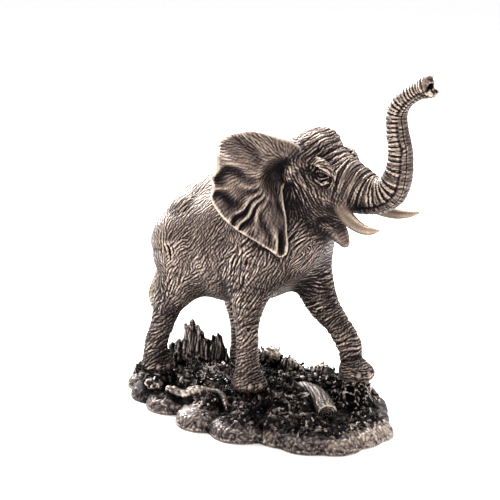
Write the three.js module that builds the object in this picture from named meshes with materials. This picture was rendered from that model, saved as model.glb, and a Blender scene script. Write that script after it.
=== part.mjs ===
// An elephant striding over rough ground with its trunk raised: a table statue cast in
// bronze-filled resin. The figure and the ground under it are two castings. Three soles
// rest on flat seats in the ground, and the left forefoot stands on a tree stump.
// Frame: millimetres, +Z up, the elephant walks towards +X and its left side is +Y. The
// origin is the centre of the ground's flat underside.
import * as THREE from 'three';
import { edgeTable, triTable } from 'three/addons/objects/MarchingCubes.js';

// Driving dimensions
const figureHeight = 226; // from the lowest sole to the tip of the trunk
const figureForward = -4; // where the figure's own middle stands on the ground
const figureLeft = 12;
const baseLength = 217;
const baseWidth = 145;
const seatHeight = 20; // the ground's level under three of the feet
const edgeHeight = 7; // of the rounded edge all round the ground
const edgeRound = 6; // how far in that edge is rounded
const slopeReach = 30; // how far in the ground has risen to its full level
const stumpRise = 9; // how far the stump's seat stands above the others
const seatGap = 0.3; // between a sole and its seat
const seatMargin = 2.2; // how far a seat is wider than its foot
const earThickness = 3.6;

// How finely the castings are meshed
const figureCell = 1.6;
const groundCell = 2;
const figureTriangles = 7100;
const groundTriangles = 2800;

const clamp = (v, low, high) => Math.min(high, Math.max(low, v));
const smoothStep = (from, to, v) => {
  const t = clamp((v - from) / (to - from), 0, 1);
  return t * t * (3 - 2 * t);
};
const radians = THREE.MathUtils.degToRad;

// Distance fields. A form holds a function of a point, negative inside the material, with a
// ball around it that its surface stays in. A lump is an ellipsoid, tipped nose up by some
// degrees. A limb is a row of round cones along a curve through [x, y, z, radius] points.
function blendIn(a, b, width) {
  const overlap = Math.max(width - Math.abs(a - b), 0) / width;
  return Math.min(a, b) - (overlap * overlap * width) / 4;
}

function lump([cx, cy, cz], [rx, ry, rz], tip = 0) {
  const c = Math.cos(radians(tip));
  const s = Math.sin(radians(tip));
  const distance = (x, y, z) => {
    const dx = x - cx;
    const dz = z - cz;
    const u = (dx * c + dz * s) / rx;
    const v = (y - cy) / ry;
    const w = (dz * c - dx * s) / rz;
    const k = Math.sqrt(u * u + v * v + w * w);
    const slope = Math.sqrt((u * u) / (rx * rx) + (v * v) / (ry * ry) + (w * w) / (rz * rz));
    return (k * (k - 1)) / Math.max(slope, 1e-9);
  };
  return { distance, centre: [cx, cy, cz], reach: Math.max(rx, ry, rz) };
}

function beadsAlong(points, perSpan) {
  const count = (points.length - 1) * perSpan;
  const curveOf = (pick) => new THREE.CatmullRomCurve3(points.map(pick), false, 'catmullrom', 0.5);
  const route = curveOf(([x, y, z]) => new THREE.Vector3(x, y, z));
  const girth = curveOf(([, , , r]) => new THREE.Vector3(r, 0, 0));
  return Array.from({ length: count + 1 }, (_, i) => [
    ...route.getPoint(i / count).toArray(), girth.getPoint(i / count).x,
  ]);
}

// Ringed: rounded ridges across the limb, with narrow grooves between, whose pitch goes from
// one value to another along it
function ringsOn(beads, { pitch: [first, last], depth, from }) {
  let turns = 0;
  const phases = [0];
  for (let i = 1; i < beads.length; i++) {
    const step = Math.hypot(...[0, 1, 2].map((a) => beads[i][a] - beads[i - 1][a]));
    const share = i / (beads.length - 1);
    turns += step / (first + (last - first) * share);
    phases.push(turns);
  }
  return (i, t) => {
    const phase = phases[i - 1] + t * (phases[i] - phases[i - 1]);
    const share = (i - 1 + t) / (beads.length - 1);
    return -depth * Math.abs(Math.cos(Math.PI * phase)) ** 3 * smoothStep(from, from + 0.12, share);
  };
}

function limb(points, { perSpan = 4, rings = null } = {}) {
  const beads = beadsAlong(points, perSpan);
  const ringAt = rings ? ringsOn(beads, rings) : null;
  const spans = beads.slice(1).map(([bx, by, bz, br], i) => {
    const [ax, ay, az, ar] = beads[i];
    const [ex, ey, ez] = [bx - ax, by - ay, bz - az];
    return { ax, ay, az, ar, ex, ey, ez, er: br - ar, square: ex * ex + ey * ey + ez * ez };
  });
  const distance = (x, y, z) => {
    let nearest = Infinity;
    let at = 1;
    let along = 0;
    for (let i = 0; i < spans.length; i++) {
      const { ax, ay, az, ar, ex, ey, ez, er, square } = spans[i];
      const dot = (x - ax) * ex + (y - ay) * ey + (z - az) * ez;
      const t = dot <= 0 ? 0 : Math.min(dot / square, 1);
      const dx = x - ax - t * ex;
      const dy = y - ay - t * ey;
      const dz = z - az - t * ez;
      const d = Math.sqrt(dx * dx + dy * dy + dz * dz) - ar - t * er;
      if (d < nearest) {
        nearest = d;
        at = i + 1;
        along = t;
      }
    }
    return ringAt ? nearest - ringAt(at, along) : nearest;
  };
  const box = new THREE.Box3();
  for (const [x, y, z, r] of beads) {
    box.expandByPoint(new THREE.Vector3(x - r, y - r, z - r));
    box.expandByPoint(new THREE.Vector3(x + r, y + r, z + r));
  }
  return {
    distance,
    centre: box.getCenter(new THREE.Vector3()).toArray(),
    reach: box.getSize(new THREE.Vector3()).length() / 2,
  };
}

const mirrored = ({ distance, centre: [x, y, z], reach }) => ({
  distance: (px, py, pz) => distance(px, -py, pz),
  centre: [x, -y, z],
  reach,
});
const add = (blend, ...forms) => forms.map((form) => ({ form, blend, cut: false }));
const addPair = (blend, ...forms) => forms.flatMap((form) => add(blend, form, mirrored(form)));
const carve = (blend, ...forms) => forms.map((form) => ({ form, blend, cut: true }));
const carvePair = (blend, ...forms) => forms.flatMap((form) => carve(blend, form, mirrored(form)));

// A sculpture takes its strokes in order: each joins a form to what is there or cuts it
// away, blended over its own width. closeTo leaves out the strokes that can't reach a ball.
function sculpture(strokes) {
  const distance = (x, y, z) => {
    let d = 1e3;
    for (const { form, blend, cut } of strokes) {
      const there = form.distance(x, y, z);
      d = cut ? -blendIn(-d, there, blend) : blendIn(d, there, blend);
    }
    return d;
  };
  const closeTo = (x, y, z, ball) => {
    const d = distance(x, y, z);
    return sculpture(strokes.filter(({ form, blend, cut }) => {
      const away = Math.hypot(x - form.centre[0], y - form.centre[1], z - form.centre[2]) - form.reach;
      return away < blend + ball + (cut ? 0 : Math.max(d, 0) + ball);
    }));
  };
  return { distance, closeTo };
}

// The figure, in the sculptor's own millimetres, with z from the lowest sole. It is scaled so
// that its highest stroke, the finger on top of the trunk's tip, is at figureHeight.
const upperFinger = [[122, 0, 221, 3], [128.5, 0, 224.6, 1.4]];
const figureScale = figureHeight / (upperFinger[1][2] + upperFinger[1][3]);

const torso = [
  ...add(10, lump([0, 0, 105], [53, 41, 44], 13)),
  ...add(14, lump([-22, 0, 92], [50, 42.5, 40]), lump([-47, 0, 96], [30, 31, 34])),
  ...addPair(12, lump([17, -18, 111], [25, 20, 37])),
  ...add(12, lump([22, 0, 103], [18, 23, 24])),
  ...addPair(6, lump([-50, -20, 121], [9, 8, 7])),
  ...add(12,
    limb([[-66, 0, 104, 9], [-48, 0, 123, 11], [-20, 0, 136, 14], [8, 0, 145, 16], [28, 0, 150, 18]]),
    limb([[10, 0, 128, 30], [32, 0, 148, 22]])),
];
const legs = [
  [[14, -22, 116, 23], [13, -27, 92, 18], [10, -30, 72, 14], [8, -31, 50, 9], [8, -31, 36, 7.8],
    [8, -31, 22, 7.8], [8, -31, 10, 9]],
  [[23, 16, 112, 19], [28, 15, 88, 16.5], [40, 14, 58, 11.8], [55, 11, 43.6, 8.6], [66, 8, 32, 8.8],
    [68.8, 7, 21.5, 7.6], [71.5, 6, 15, 9]],
  [[-50, -18, 92, 26], [-49, -24, 72, 18], [-57, -28, 56, 12.5], [-61, -28, 47, 10],
    [-65.5, -29.5, 31, 8.2], [-69.5, -30, 20, 8.2], [-70, -30, 10, 9]],
  [[-46, 18, 92, 26], [-40, 22, 70, 18], [-36, 23, 52, 12], [-33, 22, 39, 9], [-30.5, 22, 25, 8],
    [-29, 22, 10, 9]],
];
// Each foot: the middle of its sole, its half length and half width, and its sole's level
const feet = [
  { at: [9.5, -31], half: [12.5, 11.5], sole: 0 },
  { at: [74, 6], half: [12.5, 11.5], sole: stumpRise / figureScale },
  { at: [-68, -30], half: [12, 11], sole: 0 },
  { at: [-27, 22], half: [12, 11], sole: 0 },
];
const footHeight = 8;
const nails = { count: 4, spread: 52, radius: 2.8, level: 4, inset: 1.8 };

const head = [
  ...add(8, lump([42, 0, 154], [20, 21, 19.5])),
  ...addPair(5, lump([46, -8, 173], [11, 9, 8], -12)),
  ...add(8, limb([[42, 0, 160, 19], [60, 0, 148, 17.5]])),
  ...add(8, lump([51, 0, 127], [17, 14, 13])),
  ...addPair(6, lump([47, -13, 139], [18, 9, 16])),
  ...addPair(5, limb([[53, -18.5, 164, 2.6], [59, -20, 162.8, 3.6], [65, -16.5, 157, 3]])),
  ...addPair(6, limb([[45, -15, 168, 6], [40, -23, 160, 6], [38, -25, 154, 5]])),
  ...addPair(5, limb([[45, -20, 151, 5], [62, -17, 139, 5.5]])),
  ...addPair(5, limb([[66, -11, 144, 8], [73, -14.5, 134, 6.6]])),
  ...add(5, limb([[54, 0, 120, 9], [62, 0, 111.5, 6.4], [66.5, 0, 105.5, 3.6]])),
  ...carvePair(3, lump([59.5, -23.5, 156], [5.5, 3.2, 4.2])),
  ...addPair(1, lump([59.8, -19.8, 156.2], [3.4, 3.2, 3])),
  ...carvePair(4, limb([[56, -14, 122, 2.5], [66, -9, 121, 4], [74, 0, 121, 5]])),
];
const trunkPath = [
  [58, 0, 149, 18], [71, 0, 145, 17], [83, 0, 141.5, 14], [93, 0, 142, 12.2], [101.5, 0, 147, 11.2],
  [106.4, 0, 159, 9.6], [107, 0, 173, 8.5], [104.4, 0, 187, 7.7], [104, 0, 198, 7.2],
  [108.2, 0, 206.5, 6.5], [115, 0, 212, 5.9], [120.5, 0, 215.6, 5.7], [125, 0, 218, 6],
];
const trunk = [
  ...add(5, limb(trunkPath, { perSpan: 6, rings: { pitch: [5.6, 3.6], depth: 0.9, from: 0.03 } })),
  ...add(2, limb(upperFinger)),
  ...add(2, limb([[121, 0, 212.5, 3.4], [130, 0, 213, 2.2]])),
  ...addPair(2, limb([[123, -4.5, 216.5, 2.6], [130.5, -5, 214, 1.4]])),
  ...carvePair(1, limb([[124, -2.2, 217.5, 1.3], [134, -2.6, 219.5, 2.4]])),
];
const tusks = addPair(1.2, limb([[71, -15, 136, 5.2], [79, -19, 128.5, 4.8], [90, -23.5, 124.3, 3.9],
  [100, -27, 124, 2.7], [107, -29, 125.5, 1.1]]));
const tail = add(3, limb([[-70, 0, 112, 7], [-79, 0, 98, 4.4], [-83, 0, 82, 3.2], [-86, 0, 66, 2.6],
  [-90, -2, 52, 3], [-91, -3, 45, 3.6], [-90.5, -3, 35, 1.5]]));
const folds = [
  ...carvePair(4, limb([[-57, -29, 120, 0.8], [-53, -38, 110, 2], [-49, -43, 98, 2.6], [-45, -43, 84, 2.8],
    [-40, -39, 71, 2.6], [-35, -31, 60, 1.4]])),
  ...carvePair(4, limb([[7, -46, 98, 0.8], [2, -44.5, 82, 2], [0, -40, 66, 2]])),
  ...carvePair(3, limb([[40, -26, 163, 0.8], [40, -29, 148, 2.2], [42, -29, 135, 2], [47, -26, 122, 1.2]])),
  ...carvePair(2.5, limb([[50, -27, 146, 0.6], [53, -24.5, 138, 1.4], [58, -22, 133, 1.4],
    [66, -20, 133, 1]])),
];

// An ear is a thin sheet that stands off the head, backwards and outwards. u runs along it
// from the head and w is the height. Flutes fan out from its root, and its top folds back.
const earOutline = [
  [-8, 170], [-2, 176.5], [9, 180.5], [24, 185], [35, 182.5], [45, 177], [50, 170], [51, 162],
  [54.5, 153], [55.5, 143], [49, 130.5], [38, 120], [24, 110.5], [15, 104.3], [10, 100.2], [6, 102.5],
  [4.5, 114], [4, 127], [5, 138], [3, 148], [-5, 156],
];
const earFan = { root: [8, 153], ridges: [-64, -20, 8, 30, 47, 62, 80, 99, 150], depth: 5, cup: 7, bend: 5 };
const nearEar = { root: [38, -26], spread: 50, drop: 0, side: 1, lift: 6 };
const farEar = { root: [33, -25], spread: 36, drop: 20, side: -1, lift: 1 };

function edgeDistance(u, w, outline) {
  let nearest = Infinity;
  let inside = false;
  for (let i = 0, j = outline.length - 1; i < outline.length; j = i++) {
    const [au, aw] = outline[j];
    const [bu, bw] = outline[i];
    const [eu, ew] = [bu - au, bw - aw];
    const t = clamp(((u - au) * eu + (w - aw) * ew) / (eu * eu + ew * ew), 0, 1);
    nearest = Math.min(nearest, (u - au - t * eu) ** 2 + (w - aw - t * ew) ** 2);
    if (aw > w !== bw > w && u < (eu * (w - aw)) / ew + au) inside = !inside;
  }
  return inside ? -Math.sqrt(nearest) : Math.sqrt(nearest);
}

function earBend(u, w, lift) {
  const [ru, rw] = earFan.root;
  const away = Math.hypot(u - ru, w - rw);
  const waver = earFan.bend * Math.sin(u * 0.16 + w * 0.13);
  const angle = THREE.MathUtils.radToDeg(Math.atan2(rw - w, u - ru)) + waver;
  let flute = 0;
  for (let i = 1; i < earFan.ridges.length; i++) {
    const [from, to] = [earFan.ridges[i - 1], earFan.ridges[i]];
    if (angle < from || angle >= to) continue;
    const valley = 1 - Math.cos((2 * Math.PI * (angle - from)) / (to - from));
    flute = -(earFan.depth / 2) * valley * clamp((to - from) / 24, 0.4, 1.3);
  }
  const cup = -earFan.cup * smoothStep(16, 3, away);
  const lobe = lift * smoothStep(138, 112, w) * smoothStep(30, 6, u);
  const topFold = Math.max(0, (u - 18) * 0.5 + (w - 171) * 0.86);
  const frontRoll = smoothStep(9, 0, u) * smoothStep(152, 138, w);
  return flute * smoothStep(8, 46, away) + cup + lobe + 0.0022 * away * away - 0.03 * topFold * topFold
    + 2.5 * frontRoll;
}

function earForm({ root, spread, drop, side, lift }) {
  const corners = earOutline.map(([u, w]) => new THREE.Vector3(u, w, 0));
  const curve = new THREE.CatmullRomCurve3(corners, true);
  const outline = curve.getPoints(earOutline.length * 2).slice(0, -1).map(({ x, y }) => [x, y]);
  const [c, s] = [Math.cos(radians(spread)), Math.sin(radians(spread))];
  const halfThickness = earThickness / figureScale / 2;
  const roundness = 1.2;
  const distance = (x, y, z) => {
    const [dx, dy, w] = [x - root[0], y * side - root[1], z + drop];
    const u = -dx * c - dy * s;
    const off = dx * s - dy * c;
    if (Math.abs(off) > 20) return Math.abs(off) - 15;
    const bend = earBend(u, w, lift);
    if (Math.abs(off - bend) > 10) return (Math.abs(off - bend) - halfThickness) * 0.6;
    const [alongU, alongW] = [earBend(u + 0.5, w, lift) - bend, earBend(u, w + 0.5, lift) - bend];
    const steepness = Math.hypot(1, alongU * 2, alongW * 2);
    const flat = (Math.abs(off - bend) - halfThickness) / steepness + roundness;
    const edge = edgeDistance(u, w, outline) + roundness;
    return Math.hypot(Math.max(flat, 0), Math.max(edge, 0)) + Math.min(Math.max(flat, edge), 0) - roundness;
  };
  return { distance, centre: [root[0] - 27 * c, side * (root[1] - 27 * s), 143 - drop], reach: 58 };
}

// Where the finest detail is kept, and where the next finest is
const eyes = { at: [60, 21, 157], around: 12 };
const face = { back: 36, under: 100 };

// The space that holds the whole figure, at the sculptor's size
const figureRoom = { low: [-100, -76, -3], high: [138, 74, 232] };

function makeFigure() {
  const body = sculpture([...torso, ...legs.flatMap((leg) => add(9, limb(leg))), ...folds, ...head, ...trunk,
    ...add(3.5, earForm(nearEar), earForm(farEar)), ...tusks, ...tail,
    ...feet.flatMap(({ at: [x, y], half: [a, b], sole }) => [
      ...add(4, lump([x, y, sole + footHeight * 0.45], [a, b, footHeight])),
      ...Array.from({ length: nails.count }, (_, i) => {
        const turn = radians(nails.spread * (i / (nails.count - 1) - 0.5) * 2);
        const [reach, across] = [a - nails.inset, b - nails.inset];
        const nail = [x + reach * Math.cos(turn), y + across * Math.sin(turn), sole + nails.level];
        return add(1, lump(nail, [nails.radius, nails.radius, nails.radius]))[0];
      }),
    ])]);
  const soled = (field) => ({
    distance: (x, y, z) => {
      const above = feet.find(({ at, sole }) => sole > 0 && Math.hypot(x - at[0], y - at[1]) < 24);
      return Math.max(field.distance(x, y, z), (above ? above.sole : 0) - z);
    },
    closeTo: (x, y, z, ball) => soled(field.closeTo(x, y, z, ball)),
  });
  return soled(body);
}

// The ground, seen from above: a mound whose outline runs round these lobes, each with its
// middle and radius, and which always reaches past the feet
const lobes = [
  [-91, -4, 15], [-75, -14, 15], [-50, -32, 19], [-12, -46, 22], [20, -50, 23], [50, -44, 20],
  [69, -43, 23], [86, -40, 18], [92, -22, 17], [94, -8, 17], [79, 12, 18], [66, 28, 21], [48, 43, 24],
  [24, 48, 24], [-6, 45, 25], [-40, 43, 23], [-68, 30, 22], [-86, 12, 18],
];
const lobeReach = [0, 1].map((axis) => [
  Math.min(...lobes.map((lobe) => lobe[axis] - lobe[2])),
  Math.max(...lobes.map((lobe) => lobe[axis] + lobe[2])),
]);
const lobeSpan = lobeReach.map(([low, high]) => high - low);
const groundScale = [baseLength / lobeSpan[0], baseWidth / lobeSpan[1]];
const footing = 8; // how far the ground reaches past a foot
const standing = feet.map(({ at, half, sole }) => ({
  at: [at[0] * figureScale + figureForward, at[1] * figureScale + figureLeft],
  half: half.map((v) => v * figureScale),
  seat: seatHeight + sole * figureScale - seatGap,
}));

function inwardOf(x, y) {
  let outside = Math.hypot(x / 84, y / 50) * 50 - 50;
  for (const [cx, cy, r] of lobes) outside = blendIn(outside, Math.hypot(x - cx, y - cy) - r, 3);
  for (const { at, half } of standing) {
    const [u, v] = [at[0] / groundScale[0], at[1] / groundScale[1]];
    outside = Math.min(outside, Math.hypot(x - u, y - v) - half[0] - footing);
  }
  return -outside;
}

function groundLevel(x, y, inward) {
  const round = Math.sqrt(1 - (1 - clamp(inward / edgeRound, 0, 1)) ** 2);
  const swell = 1.4 * Math.sin(x * 0.11 + 1) * Math.cos(y * 0.13) + Math.sin(x * 0.23 + y * 0.19);
  return edgeHeight * round + (seatHeight - edgeHeight) * smoothStep(-4, slopeReach, inward)
    + swell * smoothStep(4, 24, inward);
}

// What lies on the ground: its place, with the height counted from the seats, and its radius
const stump = { back: 4, top: 11, foot: 17, flutes: 9, depth: 1.8 }; // back: of the foot's middle
const stumpAt = [standing[1].at[0] - stump.back, standing[1].at[1]];
const splinters = [
  [-99, 24, 6, 4], [-90, 26, 3, 4], [-83, 24, 8, 4.5], [-76, 25, 21, 5], [-70, 24, 25, 5.5],
  [-64, 23, 22, 5], [-58, 23, 13, 5], [-51, 23, 17, 4.5], [-46, 22, 19, 4.5], [-40, 23, 8, 4],
];
const clods = [
  [-76, -22, 0, 11], [-62, -34, -2, 9], [-84, -8, -2, 9], [-50, -20, 1, 8], [-38, -30, 0, 7],
  [-34, 4, 0, 8], [-14, -40, -4, 8], [10, 30, 1, 8], [34, 34, 0, 7], [24, -44, -5, 8],
  [44, -50, -6, 8], [58, -38, -6, 8], [-16, 42, 4, 10], [20, 4, -1, 9], [44, 22, 0, 8],
];
const driftwood = [[-47, -41, -3.5, 2.6], [-32, -43, -4, 2.8], [-27, -40, -2, 3.8], [-14, -37, -1, 2.6],
  [-5, -38, -1.5, 2.5], [8, -50, -5.5, 1.8]];
const log = [[34, 6, -3, 5.5], [46, 0, -2, 6], [58, -10, -2, 6.2], [70, -24, -3.5, 6.6]];
const tallest = 32; // the most that anything of the ground's own rises above the seats
const roomMargin = 6; // left free round the ground where it is meshed

const onSeats = (path) => path.map(([x, y, z, r]) => [x, y, seatHeight + z, r]);

function makeGround() {
  const mound = {
    distance: (x, y, z) => {
      const inward = inwardOf(x, y);
      return Math.max((z - groundLevel(x, y, inward)) * 0.75, -inward);
    },
    centre: [0, 0, 0],
    reach: 1e3,
  };
  const trunkStump = {
    distance: (x, y, z) => {
      const [dx, dy] = [x - stumpAt[0], y - stumpAt[1]];
      const top = seatHeight + stumpRise + 1;
      const flare = (1 - clamp((z - edgeHeight) / (top - edgeHeight), 0, 1)) ** 1.7;
      const flute = stump.depth * Math.cos(stump.flutes * Math.atan2(dy, dx) + 1) * (0.4 + flare);
      const reach = stump.top + (stump.foot - stump.top) * flare + flute;
      return Math.max((Math.hypot(dx, dy) - reach) * 0.75, z - top);
    },
    centre: [...stumpAt, seatHeight],
    reach: 2 * stump.foot + seatHeight,
  };
  const mounded = sculpture([
    ...add(1, mound),
    ...splinters.flatMap(([x, y, rise, r]) => add(1.5, limb(onSeats([
      [x + 2, y, -6, r + 1], [x, y + 1, rise * 0.6, r * 0.8], [x - 1, y, rise, r * 0.35],
    ])))),
    ...clods.flatMap(([x, y, rise, r]) => add(2, lump([x, y, seatHeight + rise - 2], [r, r * 0.9, r * 0.6]))),
    ...add(1, limb(onSeats(driftwood))), ...add(1.5, limb(onSeats(log))),
  ]);
  const [sx, sy] = groundScale;
  const stretched = (field) => ({
    distance: (x, y, z) => field.distance(x / sx, y / sy, z),
    closeTo: (x, y, z, ball) => stretched(field.closeTo(x / sx, y / sy, z, ball)),
  });
  const seated = (field) => ({
    distance: (x, y, z) => {
      let d = blendIn(field.distance(x, y, z), trunkStump.distance(x, y, z), 3);
      for (const { at, half, seat } of standing) {
        const [a, b] = half.map((v) => v + seatMargin);
        const wide = (Math.hypot((x - at[0]) / a, (y - at[1]) / b) - 1) * b;
        d = Math.max(d, -Math.max(wide, seat - z));
      }
      return Math.max(d, -z);
    },
    closeTo: (x, y, z, ball) => seated(field.closeTo(x, y, z, ball)),
  });
  return seated(stretched(mounded));
}

// Meshing: marching cubes over a box. A block of cells is skipped where the surface can't
// reach it, and elsewhere only the strokes near the block are worked out.
const corners = [[0, 0, 0], [1, 0, 0], [1, 1, 0], [0, 1, 0], [0, 0, 1], [1, 0, 1], [1, 1, 1], [0, 1, 1]];
const edges = [
  [0, 1], [1, 2], [3, 2], [0, 3], [4, 5], [5, 6], [7, 6], [4, 7], [0, 4], [1, 5], [2, 6], [3, 7],
];
const block = 8;

function sampled(field, low, cell, [nx, ny, nz]) {
  const values = new Float32Array(nx * ny * nz);
  const ball = block * cell * 0.87;
  for (let k0 = 0; k0 < nz; k0 += block) {
    for (let j0 = 0; j0 < ny; j0 += block) {
      for (let i0 = 0; i0 < nx; i0 += block) {
        const [x, y, z] = [i0, j0, k0].map((n, a) => low[a] + (n + (block - 1) / 2) * cell);
        const middle = field.distance(x, y, z);
        const local = Math.abs(middle) < ball * 1.5 ? field.closeTo(x, y, z, ball) : null;
        for (let k = k0; k < Math.min(k0 + block, nz); k++) {
          for (let j = j0; j < Math.min(j0 + block, ny); j++) {
            for (let i = i0; i < Math.min(i0 + block, nx); i++) {
              values[i + nx * (j + ny * k)] = local
                ? local.distance(low[0] + i * cell, low[1] + j * cell, low[2] + k * cell) || 1e-6
                : middle;
            }
          }
        }
      }
    }
  }
  return values;
}

function meshed(field, low, high, cell) {
  const count = low.map((v, i) => Math.ceil((high[i] - v) / cell) + 1);
  const [nx, ny, nz] = count;
  const values = sampled(field, low, cell, count);
  const steps = corners.map(([i, j, k]) => i + nx * (j + ny * k));
  const points = [];
  const faces = [];
  const made = new Map();
  const pointOn = (i, j, k, edge) => {
    const [from, to] = edges[edge];
    const first = i + nx * (j + ny * k);
    const [a, b] = [first + steps[from], first + steps[to]];
    const axis = [0, 1, 2].find((n) => corners[from][n] !== corners[to][n]);
    const key = a * 3 + axis;
    let found = made.get(key);
    if (found === undefined) {
      found = points.length;
      made.set(key, found);
      const t = clamp(values[a] / (values[a] - values[b]), 0.02, 0.98);
      const place = [i, j, k].map((v, n) => low[n] + (v + corners[from][n]) * cell);
      place[axis] += t * cell;
      points.push(place);
    }
    return found;
  };
  for (let k = 0; k < nz - 1; k++) {
    for (let j = 0; j < ny - 1; j++) {
      for (let i = 0; i < nx - 1; i++) {
        const first = i + nx * (j + ny * k);
        let shape = 0;
        for (let c = 0; c < 8; c++) if (values[first + steps[c]] < 0) shape |= 1 << c;
        if (edgeTable[shape] === 0) continue;
        for (let n = shape * 16; triTable[n] >= 0; n += 3) {
          faces.push([2, 1, 0].map((m) => pointOn(i, j, k, triTable[n + m])));
        }
      }
    }
  }
  return { points, faces };
}

// Simplifying: the edge whose loss moves the surface least is closed up, again and again,
// until few enough triangles are left. A step that would fold or pinch the surface isn't made.
class Heap {
  constructor() {
    this.items = [];
  }

  push(item) {
    const { items } = this;
    let n = items.push(item) - 1;
    while (n > 0) {
      const up = (n - 1) >> 1;
      if (items[up].cost <= item.cost) break;
      items[n] = items[up];
      n = up;
    }
    items[n] = item;
  }

  pop() {
    const { items } = this;
    const [top] = items;
    const last = items.pop();
    if (items.length === 0) return top;
    let n = 0;
    for (;;) {
      let down = 2 * n + 1;
      if (down >= items.length) break;
      if (down + 1 < items.length && items[down + 1].cost < items[down].cost) down++;
      if (items[down].cost >= last.cost) break;
      items[n] = items[down];
      n = down;
    }
    items[n] = last;
    return top;
  }
}

function crossOf([ax, ay, az], [bx, by, bz], [cx, cy, cz]) {
  const [ux, uy, uz, vx, vy, vz] = [bx - ax, by - ay, bz - az, cx - ax, cy - ay, cz - az];
  return [uy * vz - uz * vy, uz * vx - ux * vz, ux * vy - uy * vx];
}

// The least of the squared distances to the planes whose sums q holds, and where it is
function bestPoint(q, a, b) {
  const costAt = ([x, y, z]) => q[0] * x * x + 2 * q[1] * x * y + 2 * q[2] * x * z + 2 * q[3] * x
    + q[4] * y * y + 2 * q[5] * y * z + 2 * q[6] * y + q[7] * z * z + 2 * q[8] * z + q[9];
  const middle = [(a[0] + b[0]) / 2, (a[1] + b[1]) / 2, (a[2] + b[2]) / 2];
  const m = [q[4] * q[7] - q[5] * q[5], q[2] * q[5] - q[1] * q[7], q[1] * q[5] - q[2] * q[4]];
  const determinant = q[0] * m[0] + q[1] * m[1] + q[2] * m[2];
  const options = [middle, a, b];
  if (Math.abs(determinant) > 1e-4) {
    const [d0, d1, d2] = [q[0] * q[7] - q[2] * q[2], q[1] * q[2] - q[0] * q[5], q[0] * q[4] - q[1] * q[1]];
    const solved = [
      -(m[0] * q[3] + m[1] * q[6] + m[2] * q[8]) / determinant,
      -(m[1] * q[3] + d0 * q[6] + d1 * q[8]) / determinant,
      -(m[2] * q[3] + d1 * q[6] + d2 * q[8]) / determinant,
    ];
    const span = Math.hypot(a[0] - b[0], a[1] - b[1], a[2] - b[2]);
    const shift = Math.hypot(...solved.map((v, i) => v - middle[i]));
    if (shift < 1.5 * span) options.push(solved);
  }
  let best = { cost: Infinity, place: middle };
  for (const place of options) {
    const cost = costAt(place);
    if (cost < best.cost) best = { cost, place };
  }
  return best;
}

function simplified({ points, faces }, target, weightAt = () => 1) {
  const around = points.map(() => []);
  const quadrics = points.map(() => new Float64Array(10));
  faces.forEach((face, f) => {
    const normal = crossOf(...face.map((v) => points[v]));
    const size = Math.hypot(...normal) || 1e-12;
    const [a, b, c] = normal.map((v) => v / size);
    const p = points[face[0]];
    const d = -(a * p[0] + b * p[1] + c * p[2]);
    const weight = size * weightAt(...p);
    const terms = [a * a, a * b, a * c, a * d, b * b, b * c, b * d, c * c, c * d, d * d];
    for (const v of face) {
      around[v].push(f);
      for (let n = 0; n < 10; n++) quadrics[v][n] += terms[n] * weight;
    }
  });
  const heap = new Heap();
  const stamp = new Int32Array(points.length);
  const gone = new Uint8Array(faces.length);
  const offer = (a, b) => {
    const q = quadrics[a].map((v, n) => v + quadrics[b][n]);
    const { cost, place } = bestPoint(q, points[a], points[b]);
    const [dx, dy, dz] = [0, 1, 2].map((n) => points[a][n] - points[b][n]);
    const weighed = cost + 2e-4 * (dx * dx + dy * dy + dz * dz);
    heap.push({ cost: weighed, a, b, place, stamps: [stamp[a], stamp[b]] });
  };
  const neighbours = (v) => {
    const found = new Set();
    for (const f of around[v]) for (const n of faces[f]) if (n !== v) found.add(n);
    return found;
  };
  const folds = (v, other, place) => around[v].some((f) => {
    const face = faces[f];
    if (face.includes(other)) return false;
    const before = crossOf(...face.map((n) => points[n]));
    const after = crossOf(...face.map((n) => (n === v ? place : points[n])));
    const size = Math.hypot(...after);
    const turn = before[0] * after[0] + before[1] * after[1] + before[2] * after[2];
    return size < 1e-2 || turn < 0.35 * size * Math.hypot(...before);
  });
  points.forEach((_, v) => {
    for (const n of neighbours(v)) if (v < n) offer(v, n);
  });
  let left = faces.length;
  while (left > target && heap.items.length) {
    const { a, b, place, stamps } = heap.pop();
    if (stamp[a] !== stamps[0] || stamp[b] !== stamps[1]) continue;
    const nearB = neighbours(b);
    let shared = 0;
    for (const n of neighbours(a)) if (nearB.has(n)) shared++;
    if (shared !== 2 || folds(a, b, place) || folds(b, a, place)) continue;
    points[a] = place;
    for (let n = 0; n < 10; n++) quadrics[a][n] += quadrics[b][n];
    for (const f of around[b]) {
      const face = faces[f];
      if (face.includes(a)) {
        gone[f] = 1;
        left--;
        for (const v of face) if (v !== b) around[v] = around[v].filter((g) => g !== f);
      } else {
        faces[f] = face.map((v) => (v === b ? a : v));
        around[a].push(f);
      }
    }
    around[b] = [];
    stamp[b]++;
    stamp[a]++;
    for (const n of neighbours(a)) offer(a, n);
  }
  return { points, faces: faces.filter((_, f) => !gone[f]) };
}

// Points that lie almost at one of these levels are put right on it, so flats are truly flat
function levelled({ points, faces }, levels) {
  const nearly = 0.2;
  const moved = points.map(([x, y, z]) => [x, y, levels.find((v) => Math.abs(z - v) < nearly) ?? z]);
  return { points: moved, faces };
}

function castOf(name, material, { points, faces }, scale = 1) {
  const placeOf = new Map();
  const kept = [];
  for (const v of faces.flat()) {
    if (placeOf.has(v)) continue;
    placeOf.set(v, placeOf.size);
    kept.push(...points[v].map((length) => length * scale));
  }
  const geometry = new THREE.BufferGeometry();
  geometry.setAttribute('position', new THREE.Float32BufferAttribute(kept, 3));
  geometry.setIndex(faces.flat().map((v) => placeOf.get(v)));
  geometry.computeVertexNormals();
  const mesh = new THREE.Mesh(geometry, material);
  mesh.name = name;
  return mesh;
}

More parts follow.
